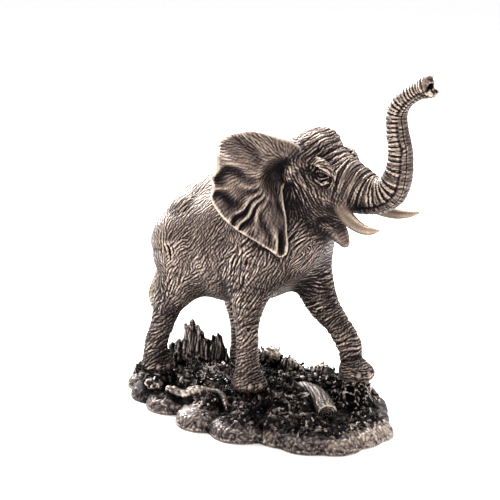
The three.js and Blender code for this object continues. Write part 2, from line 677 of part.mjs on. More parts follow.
const bronze = new THREE.MeshStandardMaterial({ color: 0x6b5340, roughness: 0.45, metalness: 0.8 });
const darkBronze = new THREE.MeshStandardMaterial({ color: 0x4a3b30, roughness: 0.55, metalness: 0.7 });

function elephant() {
  const shell = meshed(makeFigure(), figureRoom.low, figureRoom.high, figureCell);
  const weightAt = (x, y, z) => {
    if (Math.hypot(x - eyes.at[0], Math.abs(y) - eyes.at[1], z - eyes.at[2]) < eyes.around) return 20;
    return x > face.back && z > face.under ? 4 : 1;
  };
  const fine = levelled(simplified(shell, figureTriangles, weightAt), feet.map(({ sole }) => sole));
  const cast = castOf('elephant', bronze, fine, figureScale);
  cast.position.set(figureForward, figureLeft, seatHeight);
  return cast;
}

function groundBase() {
  const [low, high] = [0, 1].map((end) => [0, 1].map((axis) => (
    lobeReach[axis][end] * groundScale[axis] + (end ? roomMargin : -roomMargin)
  )));
  low.push(-roomMargin);
  high.push(seatHeight + tallest);
  const shell = meshed(makeGround(), low, high, groundCell);
  const flats = [0, ...standing.map(({ seat }) => seat)];
  return castOf('ground_base', darkBronze, levelled(simplified(shell, groundTriangles), flats));
}

const statue = new THREE.Group();
statue.add(elephant(), groundBase());
export default statue;
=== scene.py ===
# The looks of a table statue: an elephant striding over rough ground with its trunk raised.
# Both castings, the figure and the ground, are sculpted again at a finer grain than the
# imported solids, on the same forms. Lengths are in millimetres until a mesh is made.
import math
import time

import bpy
import numpy as np
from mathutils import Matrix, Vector


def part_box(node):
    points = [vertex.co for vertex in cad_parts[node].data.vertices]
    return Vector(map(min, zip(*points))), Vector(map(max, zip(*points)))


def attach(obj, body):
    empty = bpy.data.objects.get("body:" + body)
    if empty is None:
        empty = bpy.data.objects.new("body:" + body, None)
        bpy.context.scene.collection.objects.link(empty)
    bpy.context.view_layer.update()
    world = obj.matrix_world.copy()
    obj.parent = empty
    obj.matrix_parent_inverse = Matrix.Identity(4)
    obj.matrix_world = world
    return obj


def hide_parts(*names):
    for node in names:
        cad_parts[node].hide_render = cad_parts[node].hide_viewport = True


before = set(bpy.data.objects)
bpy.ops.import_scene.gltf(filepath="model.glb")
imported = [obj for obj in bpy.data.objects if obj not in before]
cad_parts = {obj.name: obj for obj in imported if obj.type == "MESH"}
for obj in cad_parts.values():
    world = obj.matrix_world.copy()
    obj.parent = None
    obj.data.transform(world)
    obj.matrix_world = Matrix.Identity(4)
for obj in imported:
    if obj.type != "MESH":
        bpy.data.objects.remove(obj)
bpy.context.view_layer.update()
started = time.time()


def report(stage):
    print(f"{time.time() - started:6.1f} s  {stage}", flush=True)


# The photograph's viewing angle, in the part's frame
viewpoint = {
    "azimuth": 32,  # degrees to the right of the elephant's own right side
    "elevation": 15,
    "distance": 1286,
    "target": [-25.4, 31.4, 103.5],
    "lens": 129.6,
}


def makeCamera(v):
    turn, tilt = math.radians(v["azimuth"]), math.radians(v["elevation"])
    back = Vector((math.sin(turn) * math.cos(tilt), -math.cos(turn) * math.cos(tilt), math.sin(tilt)))
    lens = bpy.data.cameras.new("camera")
    lens.lens = v["lens"]
    lens.sensor_width = 36
    lens.clip_end = 20
    camera = bpy.data.objects.new("camera", lens)
    camera.location = (Vector(v["target"]) + back * v["distance"]) / 1000
    camera.rotation_euler = back.to_track_quat("Z", "Y").to_euler()
    bpy.context.scene.collection.objects.link(camera)
    bpy.context.scene.camera = camera


makeCamera(viewpoint)

# Small helpers for arrays of numbers and of points


def smoothStep(start, end, v):
    t = np.clip((v - start) / (end - start), 0, 1)
    return t * t * (3 - 2 * t)


def lengthOf(v):
    return np.sqrt((v * v).sum(-1))


def unit(v):
    return v / np.maximum(lengthOf(v), 1e-9)[..., None]


def latticeOf(seed, size=64):
    return np.random.default_rng(seed).standard_normal((size, size, size)).astype(np.float32)


# Smooth noise: random values on a lattice that repeats, read between its points
def noiseAt(lattice, p):
    size = lattice.shape[0]
    whole = np.floor(p).astype(np.int64)
    t = (p - whole).astype(np.float32)
    t = t * t * (3 - 2 * t)
    a = whole % size
    b = (whole + 1) % size
    flat = lattice.ravel()
    out = 0
    for i, x in enumerate((a[:, 0], b[:, 0])):
        for j, y in enumerate((a[:, 1], b[:, 1])):
            for k, z in enumerate((a[:, 2], b[:, 2])):
                w = (t[:, 0] if i else 1 - t[:, 0]) * (t[:, 1] if j else 1 - t[:, 1])
                out = out + w * (t[:, 2] if k else 1 - t[:, 2]) * flat[(x * size + y) * size + z]
    return out


# Distances from each point to the nearest and the next nearest of scattered seeds, one in
# each cell of side 1
def cellsAt(lattice, p, jitter=0.85):
    size = lattice.shape[0]
    whole = np.floor(p).astype(np.int64)
    flat = lattice.ravel()
    first = np.full(len(p), 9.0)
    second = np.full(len(p), 9.0)
    for shift in np.ndindex(3, 3, 3):
        cell = whole + np.array(shift) - 1
        wrapped = cell % size
        key = (wrapped[:, 0] * size + wrapped[:, 1]) * size + wrapped[:, 2]
        squares = 0
        for axis in range(3):
            offset = flat[(key * 3 + axis * 7919) % len(flat)]
            place = cell[:, axis] + 0.5 + jitter * 0.5 * np.sin(offset * 9)
            squares = squares + (place - p[:, axis]) ** 2
        d = np.sqrt(squares)
        second = np.minimum(second, np.maximum(first, d))
        first = np.minimum(first, d)
    return first, second


# Forms: each is a function that gives the distance of points to its surface, negative
# inside, with the corners of its box. Strokes join forms or cut them away, in order.
def blendIn(a, b, width):
    overlap = np.maximum(width - np.abs(a - b), 0) / width
    return np.minimum(a, b) - overlap * overlap * width / 4


def lump(centre, radii, tip=0.0):
    c, s = math.cos(math.radians(tip)), math.sin(math.radians(tip))
    centre, radii = np.array(centre, float), np.array(radii, float)

    def distance(p):
        d = p - centre
        q = np.stack([d[:, 0] * c + d[:, 2] * s, d[:, 1], d[:, 2] * c - d[:, 0] * s], 1) / radii
        k = lengthOf(q)
        return k * (k - 1) / np.maximum(lengthOf(q / radii), 1e-9)

    return distance, centre - radii.max(), centre + radii.max()


# Points on a uniform Catmull-Rom curve through the given ones, which may carry a radius too
def beadsAlong(points, perSpan, closed=False):
    p = np.array(points, float)
    if closed:
        p = np.concatenate([p[-1:], p, p[:2]])
    else:
        p = np.concatenate([[2 * p[0] - p[1]], p, [2 * p[-1] - p[-2]]])
    beads = []
    for i in range(1, len(p) - 2):
        for t in np.arange(perSpan) / perSpan:
            start, end = (p[i + 1] - p[i - 1]) / 2, (p[i + 2] - p[i]) / 2
            square, cube = t * t, t * t * t
            beads.append((2 * cube - 3 * square + 1) * p[i] + (cube - 2 * square + t) * start
                         + (3 * square - 2 * cube) * p[i + 1] + (cube - square) * end)
    if not closed:
        beads.append(p[-2])
    return np.array(beads)


def limb(points, perSpan=4):
    beads = beadsAlong(points, perSpan)

    def distance(p):
        nearest = np.full(len(p), 1e6)
        for a, b in zip(beads[:-1], beads[1:]):
            e = b[:3] - a[:3]
            d = p - a[:3]
            t = np.clip(d @ e / (e @ e), 0, 1)
            gap = d - t[:, None] * e
            nearest = np.minimum(nearest, np.sqrt((gap * gap).sum(1)) - a[3] - t * (b[3] - a[3]))
        return nearest

    return distance, (beads[:, :3] - beads[:, 3:]).min(0), (beads[:, :3] + beads[:, 3:]).max(0)


def mirrored(form):
    distance, low, high = form
    flip = np.array([1, -1, 1])
    corners = np.array([low[0], -high[1], low[2]]), np.array([high[0], -low[1], high[2]])
    return lambda p: distance(p * flip), *corners


def add(blend, *forms):
    return [(form, blend, False) for form in forms]


def carve(blend, *forms):
    return [(form, blend, True) for form in forms]


def addPair(blend, *forms):
    return [s for form in forms for s in add(blend, form, mirrored(form))]


def carvePair(blend, *forms):
    return [s for form in forms for s in carve(blend, form, mirrored(form))]


def near(form, p, reach):
    low, high = form[1] - reach, form[2] + reach
    inBox = (p[:, 0] > low[0]) & (p[:, 0] < high[0])
    for axis in (1, 2):
        inBox &= (p[:, axis] > low[axis]) & (p[:, axis] < high[axis])
    return np.flatnonzero(inBox)


def fieldOf(strokes, p, reach=4.0):
    d = np.full(len(p), 1e3)
    for form, blend, cut in strokes:
        at = near(form, p, blend + reach)
        if len(at):
            there = form[0](p[at])
            d[at] = -blendIn(-d[at], there, blend) if cut else blendIn(d[at], there, blend)
    return d


# How near points are to a form: 1 on it or inside it, and 0 at some distance
def closeTo(form, p, reach):
    share = np.zeros(len(p))
    at = near(form, p, reach)
    share[at] = smoothStep(reach, 0, form[0](p[at]))
    return share


def closeToAny(forms, p, reach):
    return np.max([closeTo(form, p, reach) for form in forms], axis=0)


# Meshing: the field is sampled on a grid, finely only in the blocks that the surface can
# pass, and each cell that it passes gets one point
block = 4


def sampled(field, low, high, cell):
    low = np.array(low, float)
    blocks = np.ceil((np.array(high) - low) / (cell * block)).astype(int)
    step = cell * block
    places = np.stack(np.meshgrid(*[np.arange(n) for n in blocks], indexing="ij"), -1).reshape(-1, 3)
    middles = low + places * step + step / 2 - cell / 2
    coarse = field(middles)
    active = np.flatnonzero(np.abs(coarse) < step * 0.87 * 1.35)
    inner = np.stack(np.meshgrid(*[np.arange(block)] * 3, indexing="ij"), -1).reshape(-1, 3)
    points = (low + places[active, None] * step + inner[None] * cell).reshape(-1, 3)
    fine = field(points).astype(np.float32)
    values = np.where(coarse > 0, 9, -9).astype(np.float32).repeat(block ** 3).reshape(-1, block ** 3)
    values[active] = fine.reshape(-1, block ** 3)
    bx, by, bz = blocks
    values = values.reshape(bx, by, bz, block, block, block).transpose(0, 3, 1, 4, 2, 5)
    return np.ascontiguousarray(values.reshape(bx * block, by * block, bz * block)), len(points)


def surfaceNet(values, low, cell):
    inside = values < 0
    cut = [slice(None, -1), slice(1, None)]
    count = sum(inside[cut[i], cut[j], cut[k]].astype(np.uint8) for i, j, k in np.ndindex(2, 2, 2))
    mixed = (count > 0) & (count < 8)
    cells = np.argwhere(mixed)
    index = np.full(mixed.shape, -1, np.int32)
    index[mixed] = np.arange(len(cells))
    total = np.zeros((len(cells), 3))
    crossings = np.zeros(len(cells))
    for axis in range(3):
        others = [a for a in range(3) if a != axis]
        for shift in np.ndindex(2, 2):
            corner = np.zeros(3, int)
            corner[others] = shift
            a = values[tuple((cells + corner).T)]
            end = corner.copy()
            end[axis] = 1
            b = values[tuple((cells + end).T)]
            hit = (a < 0) != (b < 0)
            t = a[hit] / (a[hit] - b[hit])
            place = np.tile(corner.astype(float), (hit.sum(), 1))
            place[:, axis] += t
            total[hit] += place
            crossings[hit] += 1
    points = low + (cells + total / crossings[:, None]) * cell
    quads = []
    for axis in range(3):
        b, c = (axis + 1) % 3, (axis + 2) % 3
        start = [slice(1, -1)] * 3
        start[axis] = slice(None, -1)
        ahead = list(start)
        ahead[axis] = slice(1, None)
        here = inside[tuple(start)]
        cross = np.argwhere(here != inside[tuple(ahead)])
        first = here[tuple(cross.T)]
        cross = cross + 1
        cross[:, axis] -= 1
        eb, ec = np.eye(3, dtype=int)[b], np.eye(3, dtype=int)[c]
        ring = [index[tuple((cross - s).T)] for s in (eb * 0, eb, eb + ec, ec)]
        quad = np.stack(ring, 1)
        quad[~first] = quad[~first][:, ::-1]
        quads.append(quad)
    quads = np.concatenate(quads)
    span = [lengthOf(points[quads[:, i]] - points[quads[:, i + 2]]) for i in (0, 1)]
    turned = span[1] < span[0]
    quads[turned] = np.roll(quads[turned], 1, axis=1)
    return points, np.concatenate([quads[:, [0, 1, 2]], quads[:, [0, 2, 3]]])


# Puts points on the field's own surface, and gives its normals there
def settled(field, points, steps=1):
    h = 0.15
    for n in range(steps + 1):
        d = field(points)
        slope = np.stack([field(points + np.eye(3)[a] * h) - d for a in range(3)], 1) / h
        if n < steps:
            shift = -(d / np.maximum((slope * slope).sum(1), 0.25))[:, None] * slope
            points = points + np.clip(shift, -0.6, 0.6)
    return points, unit(slope)


# The average over each point's neighbours in a mesh, some number of times
def smoothed(values, faces, rounds):
    edges = np.concatenate([faces[:, [0, 1]], faces[:, [1, 2]], faces[:, [2, 0]]])
    count = np.bincount(edges.ravel(), minlength=len(values))
    many = values if values.ndim == 2 else values[:, None]
    for _ in range(rounds):
        total = np.stack([np.bincount(edges[:, 0], many[edges[:, 1], a], len(many))
                          + np.bincount(edges[:, 1], many[edges[:, 0], a], len(many))
                          for a in range(many.shape[1])], 1)
        many = 0.5 * many + 0.5 * total / count[:, None]
    return many if values.ndim == 2 else many[:, 0]


# Streaks: noise is averaged along short paths over the surface, that run across an axis
# which each point has, so creases lie along the paths
def streaksOn(points, normals, axes, normalAt, lattice, pitch, reach, step=0.8):
    total = np.zeros(len(points), np.float32)
    for way in (1, -1):
        p = points.copy()
        n = normals
        for k in range(int(reach / step)):
            along = unit(np.cross(axes, n))
            across = np.cross(n, along)
            weight = math.cos(math.pi / 2 * k * step / reach)
            if k or way == 1:
                side = across * pitch * 0.5
                for offset, share in ((0, 1.0), (side, -0.5), (-side, -0.5)):
                    total += weight * share * noiseAt(lattice, (p + offset) / (pitch * 0.5))
            p = p + way * step * along
            n = normalAt(p)
    return total / total.std()


def normalsFrom(values, low, cell):
    def at(p):
        i = np.clip(np.rint((p - low) / cell).astype(int), 1, np.array(values.shape) - 2)
        x, y, z = i.T
        return unit(np.stack([values[x + 1, y, z] - values[x - 1, y, z],
                              values[x, y + 1, z] - values[x, y - 1, z],
                              values[x, y, z + 1] - values[x, y, z - 1]], 1).astype(float) + 1e-6)
    return at


# How shut in each point is: how much nearer the surface stays than it would on a plain convex form, some
# distances out from it. It darkens the colour, both as the patina in the hollows and as painted shade.
def hollowAt(field, points, normals, reaches):
    shut = 0
    for reach in reaches:
        d = field(points + normals * reach)
        shut = shut + np.clip(1 - d / reach, 0, 1)
    return shut / len(reaches)


def normalsOf(points, faces):
    a, b, c = (points[faces[:, k]] for k in range(3))
    spread = np.cross(b - a, c - a)
    total = np.stack([sum(np.bincount(faces[:, k], spread[:, axis], len(points)) for k in range(3))
                      for axis in range(3)], 1)
    return unit(total)


# A mesh object in metres, with named values on its points, cut down to a number of triangles
# or, where it is one part of a wider mesh, shaded with that mesh's normals
def pieceOf(name, points, faces, values, limit=None, normals=None):
    mesh = bpy.data.meshes.new(name)
    mesh.vertices.add(len(points))
    mesh.vertices.foreach_set("co", (points / 1000).astype(np.float32).ravel())
    mesh.loops.add(faces.size)
    mesh.loops.foreach_set("vertex_index", faces.astype(np.int32).ravel())
    mesh.polygons.add(len(faces))
    mesh.polygons.foreach_set("loop_start", np.arange(0, faces.size, 3, dtype=np.int32))
    mesh.update(calc_edges=True)
    mesh.validate()
    for key, v in values.items():
        mesh.attributes.new(key, "FLOAT", "POINT").data.foreach_set("value", v.astype(np.float32))
    piece = bpy.data.objects.new(name, mesh)
    bpy.context.scene.collection.objects.link(piece)
    if limit and len(faces) > limit:
        cut = piece.modifiers.new("cut", "DECIMATE")
        cut.ratio = limit / len(faces)
        bpy.context.view_layer.objects.active = piece
        with bpy.context.temp_override(object=piece, active_object=piece):
            bpy.ops.object.modifier_apply(modifier="cut")
    piece.data.polygons.foreach_set("use_smooth", np.ones(len(piece.data.polygons), bool))
    if normals is not None:
        piece.data.normals_split_custom_set_from_vertices(normals.tolist())
    piece.data.update()
    report(f"{name}: {len(piece.data.polygons)} triangles")
    return piece


# The figure, in millimetres at the height it was sculpted at, z from the lowest sole. The
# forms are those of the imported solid.
figure = {
    "low": [-98.71 + 4, -60.09 - 12, 0],  # the corners of the sculpted figure's box
    "height": 225.6,
    "cell": 0.66,
    "room": [[-100, -76, -3], [138, 74, 232]],
    "eye": [59.8, -19.8, 156.2],
    "earThickness": 3.6,
    "shutReaches": [3, 7, 14],  # how far out a place is looked at to see how shut in it is
    # where the casting's meshes meet: on a slanting plane and a level one under the head, and
    # at a height over the legs and a place along the back
    "headBorder": 98, "headBottom": 98, "legTop": 78, "haunchBorder": -8,
}
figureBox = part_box("elephant")
figureScale = (figureBox[1].z - figureBox[0].z) * 1000 / figure["height"]
figurePlace = np.array(figureBox[0]) * 1000 - np.array(figure["low"]) * figureScale

torso = [
    *add(10, lump([0, 0, 105], [53, 41, 44], 13)),
    *add(14, lump([-22, 0, 92], [50, 42.5, 40]), lump([-47, 0, 96], [30, 31, 34])),
    *addPair(12, lump([17, -18, 111], [25, 20, 37])),
    *add(12, lump([22, 0, 103], [18, 23, 24])),
    *addPair(6, lump([-50, -20, 121], [9, 8, 7])),
    *add(12, limb([[-66, 0, 104, 9], [-48, 0, 123, 11], [-20, 0, 136, 14], [8, 0, 145, 16],
                   [28, 0, 150, 18]]),
         limb([[10, 0, 128, 30], [32, 0, 148, 22]])),
]
legs = [limb(path) for path in (
    [[14, -22, 116, 23], [13, -27, 92, 18], [10, -30, 72, 14], [8, -31, 50, 9], [8, -31, 36, 7.8],
     [8, -31, 22, 7.8], [8, -31, 10, 9]],
    [[23, 16, 112, 19], [28, 15, 88, 16.5], [40, 14, 58, 11.8], [55, 11, 43.6, 8.6], [66, 8, 32, 8.8],
     [68.8, 7, 21.5, 7.6], [71.5, 6, 15, 9]],
    [[-50, -18, 92, 26], [-49, -24, 72, 18], [-57, -28, 56, 12.5], [-61, -28, 47, 10],
     [-65.5, -29.5, 31, 8.2], [-69.5, -30, 20, 8.2], [-70, -30, 10, 9]],
    [[-46, 18, 92, 26], [-40, 22, 70, 18], [-36, 23, 52, 12], [-33, 22, 39, 9], [-30.5, 22, 25, 8],
     [-29, 22, 10, 9]],
)]
stumpRise = 9
feet = [  # the middle of each sole, its half length and half width, and its level
    {"at": [9.5, -31], "half": [12.5, 11.5], "sole": 0},
    {"at": [74, 6], "half": [12.5, 11.5], "sole": stumpRise},
    {"at": [-68, -30], "half": [12, 11], "sole": 0},
    {"at": [-27, 22], "half": [12, 11], "sole": 0},
]
nails = {"count": 4, "spread": 56, "radii": [2.3, 2.5, 3.1], "level": 4.2, "inset": 1.8}
footHeight = 8


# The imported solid's folds, cut here as a bundle of finer creases
def bundle(path, apart):
    return [limb([[x + way * apart, y, z + way * apart * 0.3, r * share] for x, y, z, r in path])
            for way, share in ((0, 1), (1, 0.2), (-1, 0.25))]


folds = [
    *carvePair(1.5, *bundle([[-56, -36, 108, 0.2], [-53, -40.5, 102, 0.5], [-48, -42.5, 93, 0.8],
                             [-46, -41.5, 83, 0.7], [-41, -39, 74, 1], [-38, -33, 64, 0.9]], 3.2)),
    *carvePair(1.5, *bundle([[7, -46, 98, 0.4], [2, -44.5, 82, 1.1], [0, -40, 66, 1.2]], 3)),
    *carvePair(2.5, limb([[40, -26, 163, 0.8], [40, -29, 148, 1.8], [42, -29, 135, 1.8],
                          [47, -26, 122, 1.2]])),
    *carvePair(2, limb([[50, -27, 146, 0.6], [53, -24.5, 138, 1.2], [58, -22, 133, 1.3],
                        [66, -20, 133, 1]])),
]
lip = [[54, 0, 120, 9], [62, 0, 111.5, 6.4], [66.5, 0, 105.5, 3.6]]
head = [
    *add(8, lump([42, 0, 154], [20, 21, 19.5])),
    *addPair(5, lump([46, -8, 173], [11, 9, 8], -12)),
    *add(8, limb([[42, 0, 160, 19], [60, 0, 148, 17.5]])),
    *add(8, lump([51, 0, 127], [17, 14, 13])),
    *addPair(6, lump([47, -13, 139], [18, 9, 16])),
    *addPair(5, limb([[53, -18.5, 164, 2.6], [59, -20, 162.8, 3.6], [65, -16.5, 157, 3]])),
    *addPair(6, limb([[45, -15, 168, 6], [40, -23, 160, 6], [38, -25, 154, 5]])),
    *addPair(5, limb([[45, -20, 151, 5], [62, -17, 139, 5.5]])),
    *addPair(5, limb([[66, -11, 144, 8], [73, -14.5, 134, 6.6]])),
    *add(5, limb(lip)),
    *carvePair(3, lump([59.5, -23.5, 156], [5.5, 3.2, 4.2])),
    *addPair(1, lump([59.8, -19.8, 156.2], [3.4, 3.2, 3])),
    *carvePair(4, limb([[56, -14, 122, 2.5], [66, -9, 121, 4], [74, 0, 121, 5]])),
]
trunkPath = [
    [58, 0, 149, 18], [71, 0, 145, 17], [83, 0, 141.5, 14], [93, 0, 142, 12.2], [101.5, 0, 147, 11.2],
    [106.4, 0, 159, 9.6], [107, 0, 173, 8.5], [104.4, 0, 187, 7.7], [104, 0, 198, 7.2],
    [108.2, 0, 206.5, 6.5], [115, 0, 212, 5.9], [120.5, 0, 215.6, 5.7], [125, 0, 218, 6],
]
trunk = [
    *add(5, limb(trunkPath, perSpan=6)),
    *add(2, limb([[122, 0, 221, 3], [128.5, 0, 224.6, 1.4]])),
    *add(2, limb([[121, 0, 212.5, 3.4], [130, 0, 213, 2.2]])),
    *addPair(2, limb([[123, -4.5, 216.5, 2.6], [130.5, -5, 214, 1.4]])),
    *carvePair(1, limb([[124, -2.2, 217.5, 1.3], [134, -2.6, 219.5, 2.4]])),
]
tusk = limb([[71, -15, 136, 5.2], [79, -19, 128.5, 4.8], [90, -23.5, 124.3, 3.9], [100, -27, 124, 2.7],
             [107, -29, 125.5, 1.1]])
tail = limb([[-70, 0, 112, 7], [-79, 0, 98, 4.4], [-83, 0, 82, 3.2], [-86, 0, 66, 2.6], [-90, -2, 52, 3],
             [-91, -3, 45, 3.6], [-90.5, -3, 35, 1.5]])

# An ear is a sheet that stands off the head. u runs along it from the head, w is the height.
earOutline = [
    [-8, 170], [-2, 176.5], [9, 180.5], [24, 185], [35, 182.5], [45, 177], [50, 170], [51, 162],
    [54.5, 153], [55.5, 143], [49, 130.5], [38, 120], [24, 110.5], [15, 104.3], [10, 100.2], [6, 102.5],
    [4.5, 114], [4, 127], [5, 138], [3, 148], [-5, 156],
]
earFan = {
    "root": [8, 153],
    "ridges": [-64, -20, 8, 30, 47, 62, 80, 99, 150],  # degrees round the root
    "depth": 5, "cup": 7, "roll": 2.5,
    "bow": 0.0022, "fold": 0.03,  # how fast the sheet bends back, and its upper rim folds over
}
ears = {
    "near": {"root": [38, -26], "spread": 50, "drop": 0, "side": 1, "lift": 6},
    "far": {"root": [33, -25], "spread": 36, "drop": 20, "side": -1, "lift": 1},
}


def edgeDistance(u, w, outline):
    nearest = np.full(len(u), 1e9)
    inside = np.zeros(len(u), bool)
    for (au, aw), (bu, bw) in zip(np.roll(outline, 1, 0), outline):
        eu, ew = bu - au, bw - aw
        t = np.clip(((u - au) * eu + (w - aw) * ew) / (eu * eu + ew * ew), 0, 1)
        nearest = np.minimum(nearest, (u - au - t * eu) ** 2 + (w - aw - t * ew) ** 2)
        if ew:
            inside ^= ((aw > w) != (bw > w)) & (u < eu * (w - aw) / ew + au)
    return np.where(inside, -np.sqrt(nearest), np.sqrt(nearest))


def fanAngle(u, w):
    turn = np.degrees(np.arctan2(earFan["root"][1] - w, u - earFan["root"][0]))
    return turn + 5 * np.sin(u * 0.16 + w * 0.13) + 2.5 * np.sin(u * 0.31 - w * 0.23)


def earBend(u, w, lift):
    away = np.hypot(u - earFan["root"][0], w - earFan["root"][1])
    angle = fanAngle(u, w)
    flute = np.zeros(len(u))
    for start, end in zip(earFan["ridges"], earFan["ridges"][1:]):
        here = (angle >= start) & (angle < end)
        valley = 1 - np.cos(2 * np.pi * (angle[here] - start) / (end - start))
        flute[here] = -earFan["depth"] / 2 * valley * min(max((end - start) / 24, 0.4), 1.3)
    cup = -earFan["cup"] * smoothStep(16, 3, away)
    lift = lift * smoothStep(138, 112, w) * smoothStep(30, 6, u)
    topFold = np.maximum(0, (u - 18) * 0.5 + (w - 171) * 0.86)
    frontRoll = smoothStep(9, 0, u) * smoothStep(152, 138, w)
    return (flute * smoothStep(8, 46, away) + cup + lift + earFan["bow"] * away * away
            - earFan["fold"] * topFold ** 2 + earFan["roll"] * frontRoll)


def earPlace(ear, p):
    spread = math.radians(ear["spread"])
    c, s = math.cos(spread), math.sin(spread)
    dx, dy = p[:, 0] - ear["root"][0], p[:, 1] * ear["side"] - ear["root"][1]
    return -dx * c - dy * s, p[:, 2] + ear["drop"], dx * s - dy * c


def earForm(ear):
    outline = beadsAlong(earOutline, 2, closed=True)
    half = figure["earThickness"] / figureScale / 2
    roundness = 1.2

    def distance(p):
        u, w, off = earPlace(ear, p)
        d = np.abs(off) - 15
        at = np.flatnonzero(np.abs(off) <= 20)
        u, w, off = u[at], w[at], off[at]
        bend = earBend(u, w, ear["lift"])
        du = (earBend(u + 0.5, w, ear["lift"]) - bend) * 2
        dw = (earBend(u, w + 0.5, ear["lift"]) - bend) * 2
        steepness = np.sqrt(1 + du * du + dw * dw)
        flat = (np.abs(off - bend) - half) / steepness + roundness
        edge = edgeDistance(u, w, outline) + roundness
        outer = np.hypot(np.maximum(flat, 0), np.maximum(edge, 0))
        sheet = outer + np.minimum(np.maximum(flat, edge), 0) - roundness
        d[at] = np.where(np.abs(off - bend) > 10, (np.abs(off - bend) - half) * 0.6, sheet)
        return d

    c, s = math.cos(math.radians(ear["spread"])), math.sin(math.radians(ear["spread"]))
    centre = np.array([ear["root"][0] - 27 * c, ear["side"] * (ear["root"][1] - 27 * s), 143 - ear["drop"]])
    return distance, centre - 58, centre + 58


def nailForms():
    forms = []
    for foot in feet:
        (x, y), (a, b), sole = foot["at"], foot["half"], foot["sole"]
        for i in range(nails["count"]):
            turn = math.radians(nails["spread"] * (i / (nails["count"] - 1) - 0.5) * 2)
            reach, across = a - nails["inset"], b - nails["inset"]
            at = [x + reach * math.cos(turn), y + across * math.sin(turn), sole + nails["level"]]
            forms.append(lump(at, nails["radii"]))
    return forms


def footStrokes():
    pads = [lump([*foot["at"], foot["sole"] + footHeight * 0.45], [*foot["half"], footHeight])
            for foot in feet]
    return add(4, *pads) + add(1, *nailForms())


# The eyelids, the ridge of the brow over them and the bag below, which only the fine surface has
lids = [
    *addPair(0.5, limb([[55.4, -20.6, 156.4, 0.4], [57.4, -22.7, 158.3, 0.6], [60.4, -23.2, 158.7, 0.7],
                        [63.2, -21.7, 157.3, 0.6], [65.2, -19.6, 155.2, 0.4]])),
    *addPair(0.5, limb([[55.8, -20.4, 155.2, 0.4], [57.8, -22.4, 153.9, 0.55], [60.4, -22.7, 153.4, 0.6],
                        [62.8, -21.6, 153.9, 0.5], [65, -19.5, 155, 0.4]])),
    *addPair(1, limb([[51, -20.6, 162, 0.6], [55, -22.2, 163, 1], [59.5, -23.2, 161.8, 1.3],
                      [64, -20.8, 158.6, 1.2], [67.5, -17.6, 154.4, 0.9]])),
    *addPair(1.2, limb([[55.5, -21, 152, 0.6], [59.5, -20.4, 149.6, 1.4], [63.5, -19.8, 150.6, 0.8]])),
]
earForms = [earForm(ears["near"]), earForm(ears["far"])]
figureStrokes = [*torso, *[s for leg in legs for s in add(9, leg)], *folds, *head, *lids, *trunk,
                 *add(3.5, *earForms), *addPair(1.2, tusk), *add(3, tail), *footStrokes()]


def figureField(p, reach=4.0):
    d = fieldOf(figureStrokes, p, reach)
    floor = np.zeros(len(p))
    for foot in feet:
        if foot["sole"] > 0:
            floor[np.hypot(p[:, 0] - foot["at"][0], p[:, 1] - foot["at"][1]) < 24] = foot["sole"]
    return np.maximum(d, floor - p[:, 2])


# Which way the skin's creases run: at [x, y, z], the angle of the crease seen from the
# elephant's right side, in degrees up from the way it walks
creases = {
    "sides": [  # on the right side, and mirrored on the left
        [-62, -18, 118, 100], [-50, -25, 128, 60], [-40, -25, 132, 38], [-15, -25, 142, 34],
        [8, -25, 140, 38],
        [-30, -38, 112, 42], [-20, -43, 92, 50], [0, -42, 102, 56], [-42, -38, 88, 48], [-25, -35, 68, 30],
        [-20, -20, 56, 2], [0, -25, 60, 30], [5, -40, 84, 64], [8, -40, 112, 62], [25, -30, 120, 62],
        [36, -25, 105, 60], [45, -10, 100, 58], [46, -12, 114, 50], [30, -24, 142, 72], [26, -22, 158, 78],
        [50, -24, 146, 106], [44, -24, 154, 104], [42, -24, 140, 108], [50, -22, 134, 116],
        [60, -18, 130, 128],
        [64, -12, 118, 140], [36, -12, 176, 24], [50, -14, 174, 36], [60, -12, 168, 50], [66, -14, 160, 62],
        [72, -16, 150, 78], [82, -13, 142, 88], [60, -2, 108, 20],
    ],
    "legs": [
        [-64, -32, 100, 112], [-62, -36, 82, 104], [-58, -36, 66, 76], [-62, -36, 50, 50],
        [-68, -36, 32, 34], [-70, -36, 14, 24],
        [12, -42, 86, 60], [10, -40, 66, 52], [9, -38, 48, 40], [8, -38, 30, 34], [8, -38, 14, 28],
        [30, 6, 88, 10], [38, 2, 72, -12], [48, 4, 56, 22], [57, 2, 44, 34], [66, 2, 30, 22],
        [70, 0, 18, 6],
        [-38, 14, 72, 88], [-36, 14, 52, 30], [-32, 14, 32, 18], [-29, 14, 14, 10],
    ],
    "softness": 5,
    "waver": 17,
    "round the eyes": 10,
}


def creaseAxes(p):
    leftSide = [[x, -y, z, angle] for x, y, z, angle in creases["sides"]]
    guides = np.array(creases["sides"] + leftSide + creases["legs"], float)
    twice = np.radians(2 * guides[:, 3])
    c, s = np.zeros(len(p)), np.zeros(len(p))
    for guide, turn in zip(guides, twice):
        weight = 1 / (((p - guide[:3]) ** 2).sum(1) + creases["softness"] ** 2) ** 2
        c += weight * math.cos(turn)
        s += weight * math.sin(turn)
    size = np.hypot(c, s)
    ex, ey, ez = figure["eye"]
    dx, dz = p[:, 0] - ex, p[:, 2] - ez
    reach = np.sqrt(dx * dx + (np.abs(p[:, 1]) + ey) ** 2 + dz * dz)
    share = smoothStep(creases["round the eyes"] + 4, creases["round the eyes"] - 4, reach)
    turn = 2 * (np.arctan2(dz, dx) + np.pi / 2)
    c, s = c / size * (1 - share) + np.cos(turn) * share, s / size * (1 - share) + np.sin(turn) * share
    angle = np.arctan2(s, c) / 2 + math.radians(creases["waver"]) * noiseAt(latticeOf(4), p / 6)
    return np.stack([-np.sin(angle), np.zeros(len(p)), np.cos(angle)], 1)


